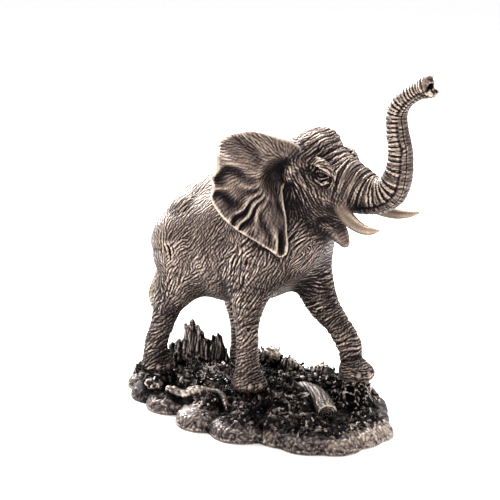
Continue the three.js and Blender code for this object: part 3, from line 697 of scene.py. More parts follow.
# Rings run round the trunk and up over the forehead, two furrows run along each side of its
# underside, and rungs cross between them
trunkLook = {
    "path": [[22, 0, 184, 18], [40, 0, 166, 18], *trunkPath],
    "ringPitch": [5.6, 2.2],
    "ringDepth": [1.1, 0.95],
    "furrows": [[34, 0.5, 0.55], [60, 1.25, 0.95]],  # degrees from under the middle, width, depth
    "rungPitch": 2.9,
    "rungDepth": 0.4,
}


def trunkPlace(p):
    beads = beadsAlong(trunkLook["path"], 6)
    best = np.full(len(p), 1e9)
    along, around, out = np.zeros(len(p)), np.zeros(len(p)), np.ones(len(p))
    axis = np.zeros((len(p), 3))
    run = 0
    for a, b in zip(beads[:-1], beads[1:]):
        e = b[:3] - a[:3]
        span = np.linalg.norm(e)
        d = p - a[:3]
        t = np.clip(d @ e / (e @ e), 0, 1)
        gap = d - t[:, None] * e
        away = lengthOf(gap)
        closer = away - a[3] - t * (b[3] - a[3]) < best
        best[closer] = (away - a[3] - t * (b[3] - a[3]))[closer]
        along[closer] = (run + t * span)[closer]
        under = np.array([e[2], 0, -e[0]]) / span
        around[closer] = np.degrees(np.arctan2(np.abs(gap[:, 1]), gap @ under))[closer]
        out[closer] = away[closer]
        axis[closer] = e / span
        run += span
    return best, along, run, around, out, axis


def trunkRelief(p, wander):
    best, along, run, around, out, axis = trunkPlace(p)
    first, last = trunkLook["ringPitch"]
    share = np.clip(along / run, 0, 1)
    phase = run / (last - first) * np.log((first + (last - first) * share) / first) + 0.12 * wander
    groove = np.abs(np.cos(np.pi * phase)) ** 6
    depth = trunkLook["ringDepth"][0] + (trunkLook["ringDepth"][1] - trunkLook["ringDepth"][0]) * share
    onTrunk = smoothStep(3.5, 1, best) * smoothStep(0.22, 0.34, share)
    onBrow = smoothStep(0.02, 0.1, share) * smoothStep(0.36, 0.26, share) * smoothStep(80, 112, around)
    onBrow = onBrow * smoothStep(6, 3, best) * 0.8
    rings = np.maximum(onTrunk * smoothStep(50, 66, around), onBrow)
    relief = -depth * groove * rings * (0.85 + 0.2 * np.clip(wander, -1, 1))
    lengthwise = smoothStep(0.36, 0.44, share) * smoothStep(3, 1, best)
    for degrees, width, depth in trunkLook["furrows"]:
        gap = np.radians(around - degrees) * out + 0.7 * wander
        relief -= depth * np.exp(-(gap / width) ** 2) * lengthwise * (0.8 + 0.5 * np.clip(wander, -1, 0.5))
    rung = np.abs(np.cos(np.pi * (along / trunkLook["rungPitch"] + 0.7 * wander))) ** 4
    relief -= trunkLook["rungDepth"] * rung * lengthwise * smoothStep(56, 48, around) * (0.8 + 0.8 * wander)
    return relief, onTrunk, axis


# How far apart, how long and how deep each kind of mark is, in millimetres
skin = {
    "fine": [1.9, 3.2, 0.23],
    "crossed": [2.1, 2.2, 0.12], "crossing": 48,  # fine marks that lie across the others, in degrees
    "broad": [3.4, 5, 0.16],
    "deep": [6.5, 12, 0.7],
    "tuskShare": 0.1, "earShare": 0.55, "trunkShare": 0.45, "lipShare": 0.2,
    # where the broad and the deep creases are at their strongest: at [x, y, z], how far round
    "folded": [[14, -40, 84, 22], [8, -38, 50, 20], [30, -28, 112, 20], [46, -16, 104, 14],
               [46, 8, 66, 22], [64, 4, 34, 18], [-62, -36, 60, 18], [-66, -34, 30, 18],
               [46, -22, 146, 10], [-34, 20, 50, 20]],
}
# Places painted darker as shade, on both sides: a path of points with radii, how far it fades out past
# them, and how much
paintedShadePaths = [
    [[[-54, -28, 84, 8], [-60, -30, 56, 10], [-70, -30, 8, 10]], 10, 0.4],
    [[[-44, -26, 70, 5], [-52, -20, 56, 6], [-58, -20, 42, 5]], 7, 0.3],
    [[[11, -34, 74, 10], [8, -31, 34, 9], [8, -31, 8, 10]], 9, 0.2],
    [[[44, -8, 118, 6], [40, -22, 134, 5], [38, -24, 150, 3]], 9, 0.2],
    [[[56, -20, 140, 5], [50, -20, 148, 5]], 8, 0.1],
    [[[-10, 0, 60, 14], [-34, 0, 62, 14]], 12, 0.1],
    [[[78, 0, 142, 14], [98, 0, 145, 12], [107, 0, 166, 9], [104, 0, 196, 8], [120, 0, 215, 6]], 6, 0.16],
    [[[34, -30, 108, 8], [8, -40, 96, 6]], 12, 0.1],
]
# Places painted darker as shade on the left side only
leftPaintedShadePaths = [
    [[[36, 14, 78, 12], [56, 10, 44, 10], [71, 6, 12, 11]], 10, 0.3],
    [[[-40, 22, 66, 10], [-30, 22, 30, 8], [-29, 22, 8, 10]], 10, 0.2],
]
# How much the colour is darkened or lightened: painted shade in the ears' cups, valleys and spots, under
# the body, round the nails and round the eyes; the ear as a whole, its rim and the nails' crests lighter
paint = {
    "ear": -0.11, "earHollows": 0.5, "cup": 0.4, "valley": 0.3, "rim": 0.035,
    "underside": 0.12, "nailCrest": 0.03, "nailSide": 0.4,
    "eyeRing": 0.9, "eyeRingHalf": [4.9, 3.3],  # how much, and its half width and height
    # painted shade on the ear: how far along, how high, half the width and height of each, and how much
    "earSpots": [[31, 122, 4.5, 9, 0.2], [43, 138, 4, 8, 0.25], [20, 117, 4, 10, 0.15],
                 [50, 150, 3, 6, 0.2]],
}


# The painted shade of the paths above, at each point
def paintedShadeAt(p):
    stain = np.zeros(len(p))
    forms = [(limb(path), fade, much) for path, fade, much in paintedShadePaths + leftPaintedShadePaths]
    forms += [(mirrored(limb(path)), fade, much) for path, fade, much in paintedShadePaths]
    for form, fade, much in forms:
        stain = np.maximum(stain, much * closeTo(form, p, fade))
    return stain


# The ears' share of each point, the direction marks run across, the painted shade in each ear's cup, front
# valley and spots, and how much lighter its outline and front roll are
def earLook(p, normals, wander):
    onEar, dark, light = np.zeros(len(p)), np.zeros(len(p)), np.zeros(len(p))
    axes = np.zeros((len(p), 3))
    outline = beadsAlong(earOutline, 2, closed=True)
    for ear, form in zip(ears.values(), earForms):
        share = closeTo(form, p, 1.2)
        here = np.flatnonzero(share > 0.02)
        u, w, _ = earPlace(ear, p[here])
        spread = math.radians(ear["spread"])
        outward = np.array([-math.cos(spread), -math.sin(spread) * ear["side"], 0])
        fan = np.arctan2((w - 161) * 1.25, u - 5) + math.radians(24) * wander[here]
        fan = np.cos(fan)[:, None] * outward + np.sin(fan)[:, None] * [0, 0, 1]
        axes[here] = unit(np.cross(normals[here], fan))
        onEar = np.maximum(onEar, share)
        away = np.hypot((u - 6) * 0.75, w - 157 + 0.4 * (u - 6))
        # Painted shade: the cup round the root, the valley behind the front roll and the spots
        shade = paint["cup"] * smoothStep(13, 3, away + 2.5 * wander[here])
        valley = np.exp(-((u - 9.5 - 0.05 * (w - 128)) / 3) ** 2)
        valley = valley * smoothStep(150, 140, w) * smoothStep(103, 110, w)
        shade = np.maximum(shade, paint["valley"] * valley)
        for along, high, halfWide, halfHigh, much in paint["earSpots"]:
            gap = np.stack([(u - along) / halfWide, (w - high) / halfHigh])
            shade = np.maximum(shade, much * np.exp(-(gap * gap).sum(0)))
        dark[here] = np.maximum(dark[here], shade * share[here])
        edge = smoothStep(-1.5, -0.5, edgeDistance(u, w, outline))
        edge = edge + smoothStep(6, 4, u) * smoothStep(152, 140, w)
        edge = edge * (0.75 + 0.8 * np.clip(wander[here], -0.6, 0.6))
        light[here] = np.maximum(light[here], np.clip(edge, 0, 1) * share[here])
    return onEar, axes, dark, light


def figureRelief(p, normals, normalAt):
    wander = noiseAt(latticeOf(3), p / 7) * 0.6
    relief, onTrunk, trunkAxis = trunkRelief(p, wander)
    axes = creaseAxes(p)
    axes = np.where((onTrunk > 0.5)[:, None], trunkAxis, axes)
    onEar, earAxes, dark, light = earLook(p, normals, wander)
    axes = np.where((onEar > 0.5)[:, None], earAxes, axes)
    onTusk = closeToAny([tusk, mirrored(tusk)], p, 0.9)
    ex, ey, ez = figure["eye"]
    away = np.sqrt(((p[:, 0] - ex) * 0.85) ** 2 + (np.abs(p[:, 1]) + ey) ** 2 + (p[:, 2] - ez) ** 2)
    onNail = closeToAny(nailForms(), p, 0.5)
    nailSide = closeToAny(nailForms(), p, 1.5) * (1 - onNail)
    plain = (1 - onEar * (1 - skin["earShare"])) * (1 - onTrunk * (1 - skin["trunkShare"]))
    plain = plain * (1 - onTusk * (1 - skin["tuskShare"])) * (1 - 0.8 * onNail) * smoothStep(4, 5, away)
    plain = plain * (1 - (1 - skin["lipShare"]) * closeTo(limb(lip[1:]), p, 3))
    plain = plain * (1 - np.clip(1.6 * dark * onEar, 0, 0.8))
    crumple = smoothStep(-0.7, 0.9, noiseAt(latticeOf(8), p / 11))
    folded = np.zeros(len(p))
    for x, y, z, around in skin["folded"]:
        gap = lengthOf((p - [x, y, z]) * [1, 0.7, 1])
        folded = np.maximum(folded, smoothStep(around * 1.3, around * 0.5, gap))
    turn = math.radians(skin["crossing"])
    crossed = unit(axes * math.cos(turn) + np.cross(normals, axes) * math.sin(turn))
    for mark, across, seed, step, sharp, share in (
            ("fine", axes, 5, 0.8, 1.2, 0.55 + 0.5 * crumple),
            ("crossed", crossed, 9, 0.8, 1.2, 0.8 - 0.4 * crumple),
            ("broad", axes, 6, 1.3, 1.1, 0.3 + 0.5 * crumple + 0.6 * folded)):
        pitch, reach, depth = skin[mark]
        streaks = streaksOn(p, normals, across, normalAt, latticeOf(seed), pitch, reach, step)
        relief = relief + plain * depth * np.tanh(sharp * streaks + 0.3) * share
    pitch, reach, depth = skin["deep"]
    deep = streaksOn(p, normals, axes, normalAt, latticeOf(7), pitch, reach, 2.4)
    cut = smoothStep(0.8, 2.2, -deep) * (1 - onEar * 0.7) * (1 - onTrunk)
    relief = relief - plain * depth * cut * (0.2 + 0.8 * folded)
    report("figure streaked")
    relief = relief * smoothStep(0.2, 1.2, p[:, 2])
    # Painted shade along the paths, away from the ears and tusks; the ears as a whole are made lighter
    dark = np.maximum(dark, paintedShadeAt(p) * (1 - onEar) * (1 - onTusk)) + paint["ear"] * onEar
    # Painted shade: faces that turn downwards are darker, and so is the skin just round the nails
    dark = dark + paint["underside"] * smoothStep(0.2, -0.8, normals[:, 2]) + paint["nailSide"] * nailSide
    # Painted shade: a dark ring round each eye, inside the lids
    wide, high = paint["eyeRingHalf"]
    tall = np.sqrt(((p[:, 0] - ex) / wide) ** 2 + ((p[:, 2] - ez + 0.35 * (p[:, 0] - ex)) / high) ** 2)
    ring = smoothStep(1.15, 0.9, tall) * smoothStep(9, 6, away)
    dark = dark + paint["eyeRing"] * ring
    light = paint["rim"] * light + paint["nailCrest"] * onNail
    return relief, {"horn": onTusk, "ear": onEar, "eye": smoothStep(2.9, 2.4, away)}, dark, light


def meshOf(field, room, cell, name):
    low = np.array(room[0], float)
    cell = cell * 1
    values, count = sampled(field, low, room[1], cell)
    report(f"{name} sampled at {count} points")
    points, faces = surfaceNet(values, low, cell)
    report(f"{name} netted: {len(faces)} triangles")
    points, normals = settled(field, points)
    report(f"{name} settled")
    return points, normals, faces, normalsFrom(values, low, cell)


# Height above the smoothed surface, over a narrow and a wide stretch: positive on crests
def reliefOf(points, normals, faces):
    near = smoothed(points, faces, 3)
    wide = smoothed(near, faces, 16)
    return ((points - near) * normals).sum(1), ((near - wide) * normals).sum(1)


# The casting's surface comes in parts that meet exactly, so that each keeps its fine creases
def elephantParts(points, faces, onEar):
    x, _, z = points[faces].mean(1).T
    ahead = x * 0.9 + z * 0.35 > figure["headBorder"]
    head = (onEar[faces[:, 0]] > 0.5) | (ahead & (z > figure["headBottom"]))
    low = ~head & (z < figure["legTop"])
    front = x > figure["haunchBorder"]
    return {"elephant_head": head, "elephant_legs": low,
            "elephant_shoulders": ~head & ~low & front, "elephant_haunches": ~head & ~low & ~front}


def makeElephant():
    points, normals, faces, normalAt = meshOf(figureField, figure["room"], figure["cell"], "figure")
    relief, values, dark, light = figureRelief(points, normals, normalAt)
    # Patina and painted shade: places that the figure's own forms shut in are darker, under the ears,
    # between the legs and under the body; the painted shade marks are added to it
    values["patinaAndShade"] = hollowAt(lambda p: figureField(p, 16), points, normals, figure["shutReaches"])
    values["patinaAndShade"] = values["patinaAndShade"] * (1 - (1 - paint["earHollows"]) * values["ear"]) + dark
    points = points + normals * relief[:, None]
    normals = normalsOf(points, faces)
    values["crest"], values["swell"] = reliefOf(points, normals, faces)
    values["crest"] = values["crest"] + light
    report("figure shaded")
    pieces = []
    for name, inPart in elephantParts(points, faces, values.pop("ear")).items():
        used, part = np.unique(faces[inPart], return_inverse=True)
        piece = pieceOf(name, points[used] * figureScale + figurePlace, part.reshape(-1, 3),
                        {key: v[used] for key, v in values.items()}, normals=normals[used])
        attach(piece, "root")
        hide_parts("elephant")
        pieces.append(piece)
    return pieces


# The ground, in the part's own millimetres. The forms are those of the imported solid.
ground = {
    "size": [215.88, 143.59],  # of the sculpted ground's box
    "seatHeight": figureBox[0].z * 1000,
    "edgeHeight": 7, "edgeRound": 6, "slopeReach": 30, "footing": 8,
    "cell": 0.8,
    "triangles": 198000,
    "tallest": 32,
    "seatGap": 0.3, "seatMargin": 2.2,
    "shutReaches": [2, 5, 10],
    "shadeReaches": [8, 16, 24], "shadeShare": 0.5,  # the painted shadow that the figure casts on the ground under it
}
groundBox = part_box("ground_base")
groundScale = [(groundBox[1][a] - groundBox[0][a]) * 1000 / ground["size"][a] for a in (0, 1)]
lobes = [
    [-91, -4, 15], [-75, -14, 15], [-50, -32, 19], [-12, -46, 22], [20, -50, 23], [50, -44, 20],
    [69, -43, 23], [86, -40, 18], [92, -22, 17], [94, -8, 17], [79, 12, 18], [66, 28, 21], [48, 43, 24],
    [24, 48, 24], [-6, 45, 25], [-40, 43, 23], [-68, 30, 22], [-86, 12, 18],
]
standing = [{
    "at": np.array(foot["at"]) * figureScale + figurePlace[:2],
    "half": np.array(foot["half"]) * figureScale,
    "seat": ground["seatHeight"] + foot["sole"] * figureScale - ground["seatGap"],
} for foot in feet]
stump = {"back": 4, "top": 11, "foot": 17, "flutes": 9, "depth": 1.8}
stumpAt = standing[1]["at"] - [stump["back"], 0]
splinters = [
    [-99, 24, 6, 4], [-90, 26, 3, 4], [-83, 24, 8, 4.5], [-76, 25, 21, 5], [-70, 24, 25, 5.5],
    [-64, 23, 22, 5], [-58, 23, 13, 5], [-51, 23, 17, 4.5], [-46, 22, 19, 4.5], [-40, 23, 8, 4],
]
clods = [
    [-76, -22, 0, 11], [-62, -34, -2, 9], [-84, -8, -2, 9], [-50, -20, 1, 8], [-38, -30, 0, 7],
    [-34, 4, 0, 8], [-14, -40, -4, 8], [10, 30, 1, 8], [34, 34, 0, 7], [24, -44, -5, 8],
    [44, -50, -6, 8], [58, -38, -6, 8], [-16, 42, 4, 10], [20, 4, -1, 9], [44, 22, 0, 8],
]
driftwood = [[-47, -41, -3.5, 2.6], [-32, -43, -4, 2.8], [-27, -40, -2, 3.8], [-14, -37, -1, 2.6],
             [-5, -38, -1.5, 2.5], [8, -50, -5.5, 1.8]]
logPath = [[34, 6, -3, 5.5], [46, 0, -2, 6], [58, -10, -2, 6.2], [70, -24, -3.5, 6.6]]


def onSeats(path):
    return [[x, y, ground["seatHeight"] + z, r] for x, y, z, r in path]


def inwardOf(x, y):
    outside = np.hypot(x / 84, y / 50) * 50 - 50
    for cx, cy, r in lobes:
        outside = blendIn(outside, np.hypot(x - cx, y - cy) - r, 3)
    for stand in standing:
        u, v = stand["at"] / groundScale
        outside = np.minimum(outside, np.hypot(x - u, y - v) - stand["half"][0] - ground["footing"])
    return -outside


def groundLevel(x, y, inward):
    rounded = np.sqrt(1 - (1 - np.clip(inward / ground["edgeRound"], 0, 1)) ** 2)
    swell = 1.4 * np.sin(x * 0.11 + 1) * np.cos(y * 0.13) + np.sin(x * 0.23 + y * 0.19)
    rise = (ground["seatHeight"] - ground["edgeHeight"]) * smoothStep(-4, ground["slopeReach"], inward)
    return ground["edgeHeight"] * rounded + rise + swell * smoothStep(4, 24, inward)


everywhere = (np.full(3, -1e3), np.full(3, 1e3))


def moundDistance(p):
    inward = inwardOf(p[:, 0], p[:, 1])
    return np.maximum((p[:, 2] - groundLevel(p[:, 0], p[:, 1], inward)) * 0.75, -inward)


def stumpDistance(p):
    dx, dy = p[:, 0] - stumpAt[0], p[:, 1] - stumpAt[1]
    top = ground["seatHeight"] + stumpRise + 1
    flare = (1 - np.clip((p[:, 2] - ground["edgeHeight"]) / (top - ground["edgeHeight"]), 0, 1)) ** 1.7
    flute = stump["depth"] * np.cos(stump["flutes"] * np.arctan2(dy, dx) + 1) * (0.4 + flare)
    reach = stump["top"] + (stump["foot"] - stump["top"]) * flare + flute
    return np.maximum((np.hypot(dx, dy) - reach) * 0.75, p[:, 2] - top)


splinterForms = [
    limb(onSeats([[x + 2, y, -6, r + 1], [x, y + 1, rise * 0.6, r * 0.8], [x - 1, y, rise, r * 0.35]]))
    for x, y, rise, r in splinters]
driftForm, logForm = limb(onSeats(driftwood)), limb(onSeats(logPath))
# Sheets of bark that stand in the litter, and the bare stone by the left hind foot
barkForms = [lump([x, y, ground["seatHeight"] + z], radii, tip) for x, y, z, radii, tip in (
    (13, 27, 3, [9.5, 2.2, 5.5], -24), (35, 34, 2, [6, 2, 4.5], -20))]
stoneForm = lump([-16, 42, ground["seatHeight"] + 3], [9, 8, 7])
logEnd = np.array(onSeats(logPath)[-1][:3])
logWay = unit(logEnd - np.array(onSeats(logPath)[-2][:3]))
logEnd = logEnd + logWay * 3


def cutLog(p):
    return np.maximum(logForm[0](p), (p - logEnd) @ logWay)


clodForms = [lump([x, y, ground["seatHeight"] + rise - 2], [r, r * 0.9, r * 0.6])
             for x, y, rise, r in clods]
groundStrokes = [
    *add(1, (moundDistance, *everywhere)),
    *[s for form in splinterForms for s in add(1.5, form)],
    *add(2, *clodForms),
    *add(1, driftForm, *barkForms), *add(1.5, stoneForm, (cutLog, *logForm[1:])),
]


# How far out from the middle of a seat points are, as a share of its size
def shareOfSeat(stand, p):
    a, b = stand["half"] + ground["seatMargin"]
    return np.hypot((p[:, 0] - stand["at"][0]) / a, (p[:, 1] - stand["at"][1]) / b), b


def groundField(p, reach=4.0):
    stretch = np.array([*groundScale, 1.0])
    d = blendIn(fieldOf(groundStrokes, p / stretch, reach), stumpDistance(p), 3)
    for stand in standing:
        share, halfWidth = shareOfSeat(stand, p)
        d = np.maximum(d, -np.maximum((share - 1) * halfWidth, stand["seat"] - p[:, 2]))
    return np.maximum(d, -p[:, 2])


# How deep the ground's marks are, in millimetres
soil = {
    "rubblePitch": 4.5, "rubbleDepth": 1.0, "chipPitch": 1.9, "litterDepth": 0.4,
    "rootPitch": [4.4, 2.2], "rootDepth": [1.5, 0.6],  # twisted ridges, coarse and fine
    "rimDepth": 0.36, "rimDots": 2.4, "rimRoots": 0.12,
    "rimWidth": [12, 6], "frontRimWidth": [7, 5],  # where the bare rim ends and starts to end, and
    # how much wider it is at the left front
    "clodSmoothing": 0.6, "woodPitch": 2.0, "woodDepth": 0.75, "stumpDepth": 1.1,
    "logDepth": 0.22, "logRings": 1.5, "logRingDepth": 0.3,
}


# Painted highlights on the rim: x, y, how far round and how much
paintedHighlights = [[104, -18, 26, 0.16], [96, -44, 20, 0.1], [-20, -45, 26, 0.14], [-52, -34, 18, 0.12],
           [-82, -14, 20, 0.16], [40, -52, 20, 0.08]]
# How much lighter or darker each thing on the ground was left
lightness = {"driftwood": -0.05, "log": 0.03, "logEnd": 0.06, "stone": 0.14, "stump": 0.08}


def groundRelief(p, normals, normalAt):
    inward = inwardOf(p[:, 0] / groundScale[0], p[:, 1] / groundScale[1])
    onStump = smoothStep(2.0, 0.8, stumpDistance(p)) * smoothStep(7, 10, p[:, 2])
    onWood = closeToAny(splinterForms, p, 1.6)
    onWood = onWood * smoothStep(ground["seatHeight"] - 2, ground["seatHeight"] + 3, p[:, 2])
    onLog, onDrift = closeTo((cutLog, *logForm[1:]), p, 1.4), closeTo(driftForm, p, 1.0)
    front = smoothStep(10, -20, p[:, 0]) * smoothStep(-66, -46, p[:, 0]) * smoothStep(0, -20, p[:, 1])
    onClod = closeToAny(clodForms, p, 1.5)
    (end, start), (moreEnd, moreStart) = soil["rimWidth"], soil["frontRimWidth"]
    onRim = smoothStep(end + moreEnd * front, start + moreStart * front, inward)
    onRim = onRim * (1 - onStump) * (1 - onClod)
    onStone = closeTo(stoneForm, p, 1.2)
    onBark = closeToAny(barkForms, p, 1.2)
    onBark = onBark * smoothStep(ground["seatHeight"] - 1, ground["seatHeight"] + 1, p[:, 2])
    bare = np.maximum.reduce([onStump, onWood, onLog, onDrift, onRim, onStone, onBark])
    up = np.array([0, 0, 1.0])
    axes = unit(np.cross(normals, up) + 1e-3)
    drift = unit(np.array([1, 0.1, 0.0]))
    axes = np.where((onDrift > 0.4)[:, None], np.cross(normals, drift), axes)
    axes = np.where((onLog > 0.4)[:, None], np.cross(normals, logWay), axes)
    grain = streaksOn(p, normals, unit(axes), normalAt, latticeOf(11), soil["woodPitch"], 7)
    atEnd = smoothStep(1.2, 0.4, np.abs((p - logEnd) @ logWay)) * onLog
    fromPith = lengthOf((p - logEnd) - ((p - logEnd) @ logWay)[:, None] * logWay)
    growth = np.cos(2 * np.pi * (fromPith + 0.3 * noiseAt(latticeOf(12), p / 4)) / soil["logRings"])
    stone = cellsAt(latticeOf(13), p / soil["rubblePitch"])[0]
    warped = p + 1.5 * np.stack([noiseAt(latticeOf(seed), p / 5) for seed in (21, 22, 23)], 1)
    pebble = cellsAt(latticeOf(14), warped / soil["rimDots"])[0]
    ridges = [1 - 1.5 * np.abs(noiseAt(latticeOf(24 + n), warped / pitch))
              for n, pitch in enumerate(soil["rootPitch"])]
    roots = soil["rootDepth"][0] * ridges[0] + soil["rootDepth"][1] * ridges[1] - 0.8
    roots = roots * (1 - soil["clodSmoothing"] * onClod)
    chip = cellsAt(latticeOf(15), p / soil["chipPitch"])[0]
    rough = noiseAt(latticeOf(16), p / 3.2)
    wood = np.tanh(1.2 * grain + 0.3)
    relief = (1 - bare) * soil["rubbleDepth"] * (0.8 - 1.5 * stone + 0.35 * rough)
    relief = relief + (1 - bare) * soil["litterDepth"] * (0.7 - 1.6 * chip)
    relief = relief + (1 - bare) * roots + onRim * soil["rimRoots"] * roots
    relief = relief + np.maximum(onRim, onStone) * soil["rimDepth"] * (1.1 - 2.2 * pebble + 0.7 * rough)
    relief = relief + onBark * (0.5 * wood + 0.4 * roots)
    plate, nextPlate = cellsAt(latticeOf(17), p / [4.2, 4.2, 13])
    broken = np.clip(3 * (nextPlate - plate), 0, 1) + 0.6 * noiseAt(latticeOf(18), p / [2.6, 2.6, 7]) - 0.9
    woody = np.maximum(onWood, onDrift * 0.15)
    relief = relief + woody * soil["woodDepth"] * (0.4 * wood + 1.3 * broken * onWood)
    relief = relief + onStump * (soil["stumpDepth"] * (0.3 * wood + 0.9 * broken) + 1.1 * roots)
    logMarks = (1 - atEnd) * soil["logDepth"] * wood + atEnd * soil["logRingDepth"] * growth
    relief = relief + onLog * logMarks
    onSeat = np.zeros(len(p))
    for stand in standing:
        inside = shareOfSeat(stand, p)[0] < 1.04
        onSeat = np.maximum(onSeat, inside * smoothStep(1.2, 0.4, np.abs(p[:, 2] - stand["seat"])))
    relief = np.minimum(relief, relief * (1 - onSeat)) * smoothStep(0.3, 3, p[:, 2])
    light = sum(lightness[thing] * share for thing, share in (
        ("driftwood", onDrift), ("log", onLog), ("logEnd", onLog * atEnd), ("stone", onStone),
        ("stump", onStump)))
    # Painted highlights on the rim's pebbles
    for x, y, around, much in paintedHighlights:
        light = light + much * smoothStep(around, around * 0.3, np.hypot(p[:, 0] - x, p[:, 1] - y)) * onRim
    return relief, light, (1 - bare) * (1 - onSeat)


def makeGround():
    reach = max(ground["size"]) / 2 + 8
    room = [[-reach, -ground["size"][1] / 2 - 6, -3],
            [reach + 3, ground["size"][1] / 2 + 6, ground["seatHeight"] + ground["tallest"]]]
    points, normals, faces, normalAt = meshOf(groundField, room, ground["cell"], "ground")
    relief, light, litter = groundRelief(points, normals, normalAt)
    report("ground carved")
    # Painted shadow: the ground is darker where the figure stands over it
    shade = hollowAt(lambda p: figureField((p - figurePlace) / figureScale, 26), points,
                     np.array([0, 0, 1.0]), ground["shadeReaches"])
    # Patina and painted shade: places that the ground's own forms shut in are darker
    shut = hollowAt(lambda p: groundField(p, 12), points, normals, ground["shutReaches"])
    values = {"patinaAndShade": shut + ground["shadeShare"] * shade}
    points = points + normals * relief[:, None]
    values["crest"], values["swell"] = reliefOf(points, normals, faces)
    # The crest value also carries each thing's own lightness and the painted highlights on the rim
    values["crest"] = values["crest"] + light
    report("ground shaded")
    piece = pieceOf("ground_bronze", points, faces, values, ground["triangles"])
    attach(piece, "root")
    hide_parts("ground_base")
    return piece, points, normals, litter, values["patinaAndShade"]


# Litter on the ground: curled leaves, flakes of bark and twigs, each a bent sheet of its own,
# laid thickly where the ground isn't bare
litterKinds = [
    {"share": 0.3, "long": [4, 7.5], "wide": [2.2, 3.8], "thick": 1.0,
     "curl": [0.5, 1.8], "point": 0.5, "lift": 38},
    {"share": 0.4, "long": [4, 9], "wide": [1.7, 3.0], "thick": 1.3,
     "curl": [0.2, 1.1], "point": 0.25, "lift": 46},
    {"share": 0.3, "long": [6, 13], "wide": [1.1, 1.6], "thick": 1.2,
     "curl": [0.3, 1.3], "point": 0.4, "lift": 16},
]
litterCount = 2100


def makeLitter(points, normals, litter, patinaAndShade):
    draw = np.random.default_rng(21)
    ups = (normals[:, 2] > 0.25) & (litter > 0.6)
    places = draw.choice(np.flatnonzero(ups), litterCount, replace=False)
    rows, columns = 5, 3
    grid = np.arange(rows * columns).reshape(rows, columns)
    top = [[grid[i, j], grid[i + 1, j], grid[i + 1, j + 1], grid[i, j + 1]]
           for i in range(rows - 1) for j in range(columns - 1)]
    rim = [*grid[0, :-1], *grid[:-1, -1], *grid[-1, :0:-1], *grid[:0:-1, 0]]
    under = rows * columns
    quads = [*[q[::-1] for q in top], *[[v + under for v in q] for q in top],
             *[[a, b, b + under, a + under] for a, b in zip(rim, rim[1:] + rim[:1])]]
    quads = np.array(quads)
    shape = np.concatenate([quads[:, [0, 1, 2]], quads[:, [0, 2, 3]]])
    kinds = draw.choice(len(litterKinds), litterCount, p=[k["share"] for k in litterKinds])
    s = np.linspace(-1, 1, rows)[:, None]
    t = np.linspace(-1, 1, columns)[None, :]
    everyPoint, everyFace, crest, shut = [], [], [], []
    for n, place in enumerate(places):
        kind = litterKinds[kinds[n]]
        long, wide = draw.uniform(*kind["long"]) / 2, draw.uniform(*kind["wide"]) / 2
        curl = draw.uniform(*kind["curl"]) * draw.choice([-1, 1])
        taper = (1 - kind["point"] * np.abs(s) ** 1.6) * (1 + 0.25 * draw.standard_normal((rows, 1)) * 0.6)
        x = long * s * np.ones_like(t) + 0.12 * long * draw.standard_normal((rows, columns))
        y = wide * taper * t
        z = curl * 0.35 * long * s ** 2 - abs(curl) * 0.5 * wide * (t ** 2) * np.ones_like(s)
        z = z + 0.26 * draw.standard_normal((rows, columns))
        leaf = np.stack([x, y, z], -1).reshape(-1, 3)
        half = [0, 0, kind["thick"] / 2]
        both = np.concatenate([leaf + half, leaf * [0.94, 0.94, 1] - half])
        way = unit(np.cross(normals[place], unit(draw.standard_normal(3))))
        lift = math.radians(draw.uniform(-kind["lift"], kind["lift"]))
        ahead = way * math.cos(lift) + normals[place] * math.sin(lift)
        side = unit(np.cross(normals[place], way))
        roll = math.radians(draw.uniform(-40, 40))
        upward = np.cross(ahead, side)
        turnCos, turnSin = math.cos(roll), math.sin(roll)
        side, upward = side * turnCos + upward * turnSin, upward * turnCos - side * turnSin
        if upward @ normals[place] < 0:
            side, upward = -side, -upward
        centre = points[place] + normals[place] * (0.3 + 0.45 * long * abs(math.sin(lift)))
        everyPoint.append(centre + both @ np.array([ahead, side, upward]))
        everyFace.append(shape + n * 2 * under)
        edge = np.maximum(np.abs(s) * np.ones_like(t), np.abs(t) * np.ones_like(s)).reshape(-1)
        # Each piece's tone differs at random and its edges are lighter; its underside is painted darker as
        # shade
        bright = draw.choice([-0.7, -0.35, 0.35], p=[0.4, 0.32, 0.28]) + draw.uniform(-0.15, 0.15)
        crest.append(np.concatenate([bright + 0.7 * edge, bright - 0.7 + 0.7 * edge]))
        # Painted shade: each piece is darker than the ground's own shade under it, and darker the lower its
        # points lie
        rise = (everyPoint[-1] - points[place]) @ normals[place]
        shut.append(np.clip(patinaAndShade[place] + 0.55 - 0.22 * rise, 0, 1))
    points = np.concatenate(everyPoint)
    low, high = np.array(groundBox[0]) * 1000, np.array(groundBox[1]) * 1000
    points = np.clip(points, low + [0, 0, 1], high)
    values = {"crest": np.concatenate(crest), "patinaAndShade": np.concatenate(shut)}
    piece = pieceOf("ground_litter", points, np.concatenate(everyFace), values)
    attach(piece, "root")
    return piece


# Materials


def linear(hexColour):
    srgb = [int(hexColour[i:i + 2], 16) / 255 for i in (1, 3, 5)]
    return [v / 12.92 if v <= 0.04045 else ((v + 0.055) / 1.055) ** 2.4 for v in srgb] + [1]


def addNode(tree, kind, inputs=None, **settings):
    made = tree.nodes.new(kind)
    for name, value in settings.items():
        setattr(made, name, value)
    for name, value in (inputs or {}).items():
        if isinstance(value, bpy.types.NodeSocket):
            tree.links.new(value, made.inputs[name])
        else:
            made.inputs[name].default_value = value
    return made


# How much the fine grain and the broad blotches of the stain shift its tone
stainShift = {"grain": 0.3, "blotch": 0.5}
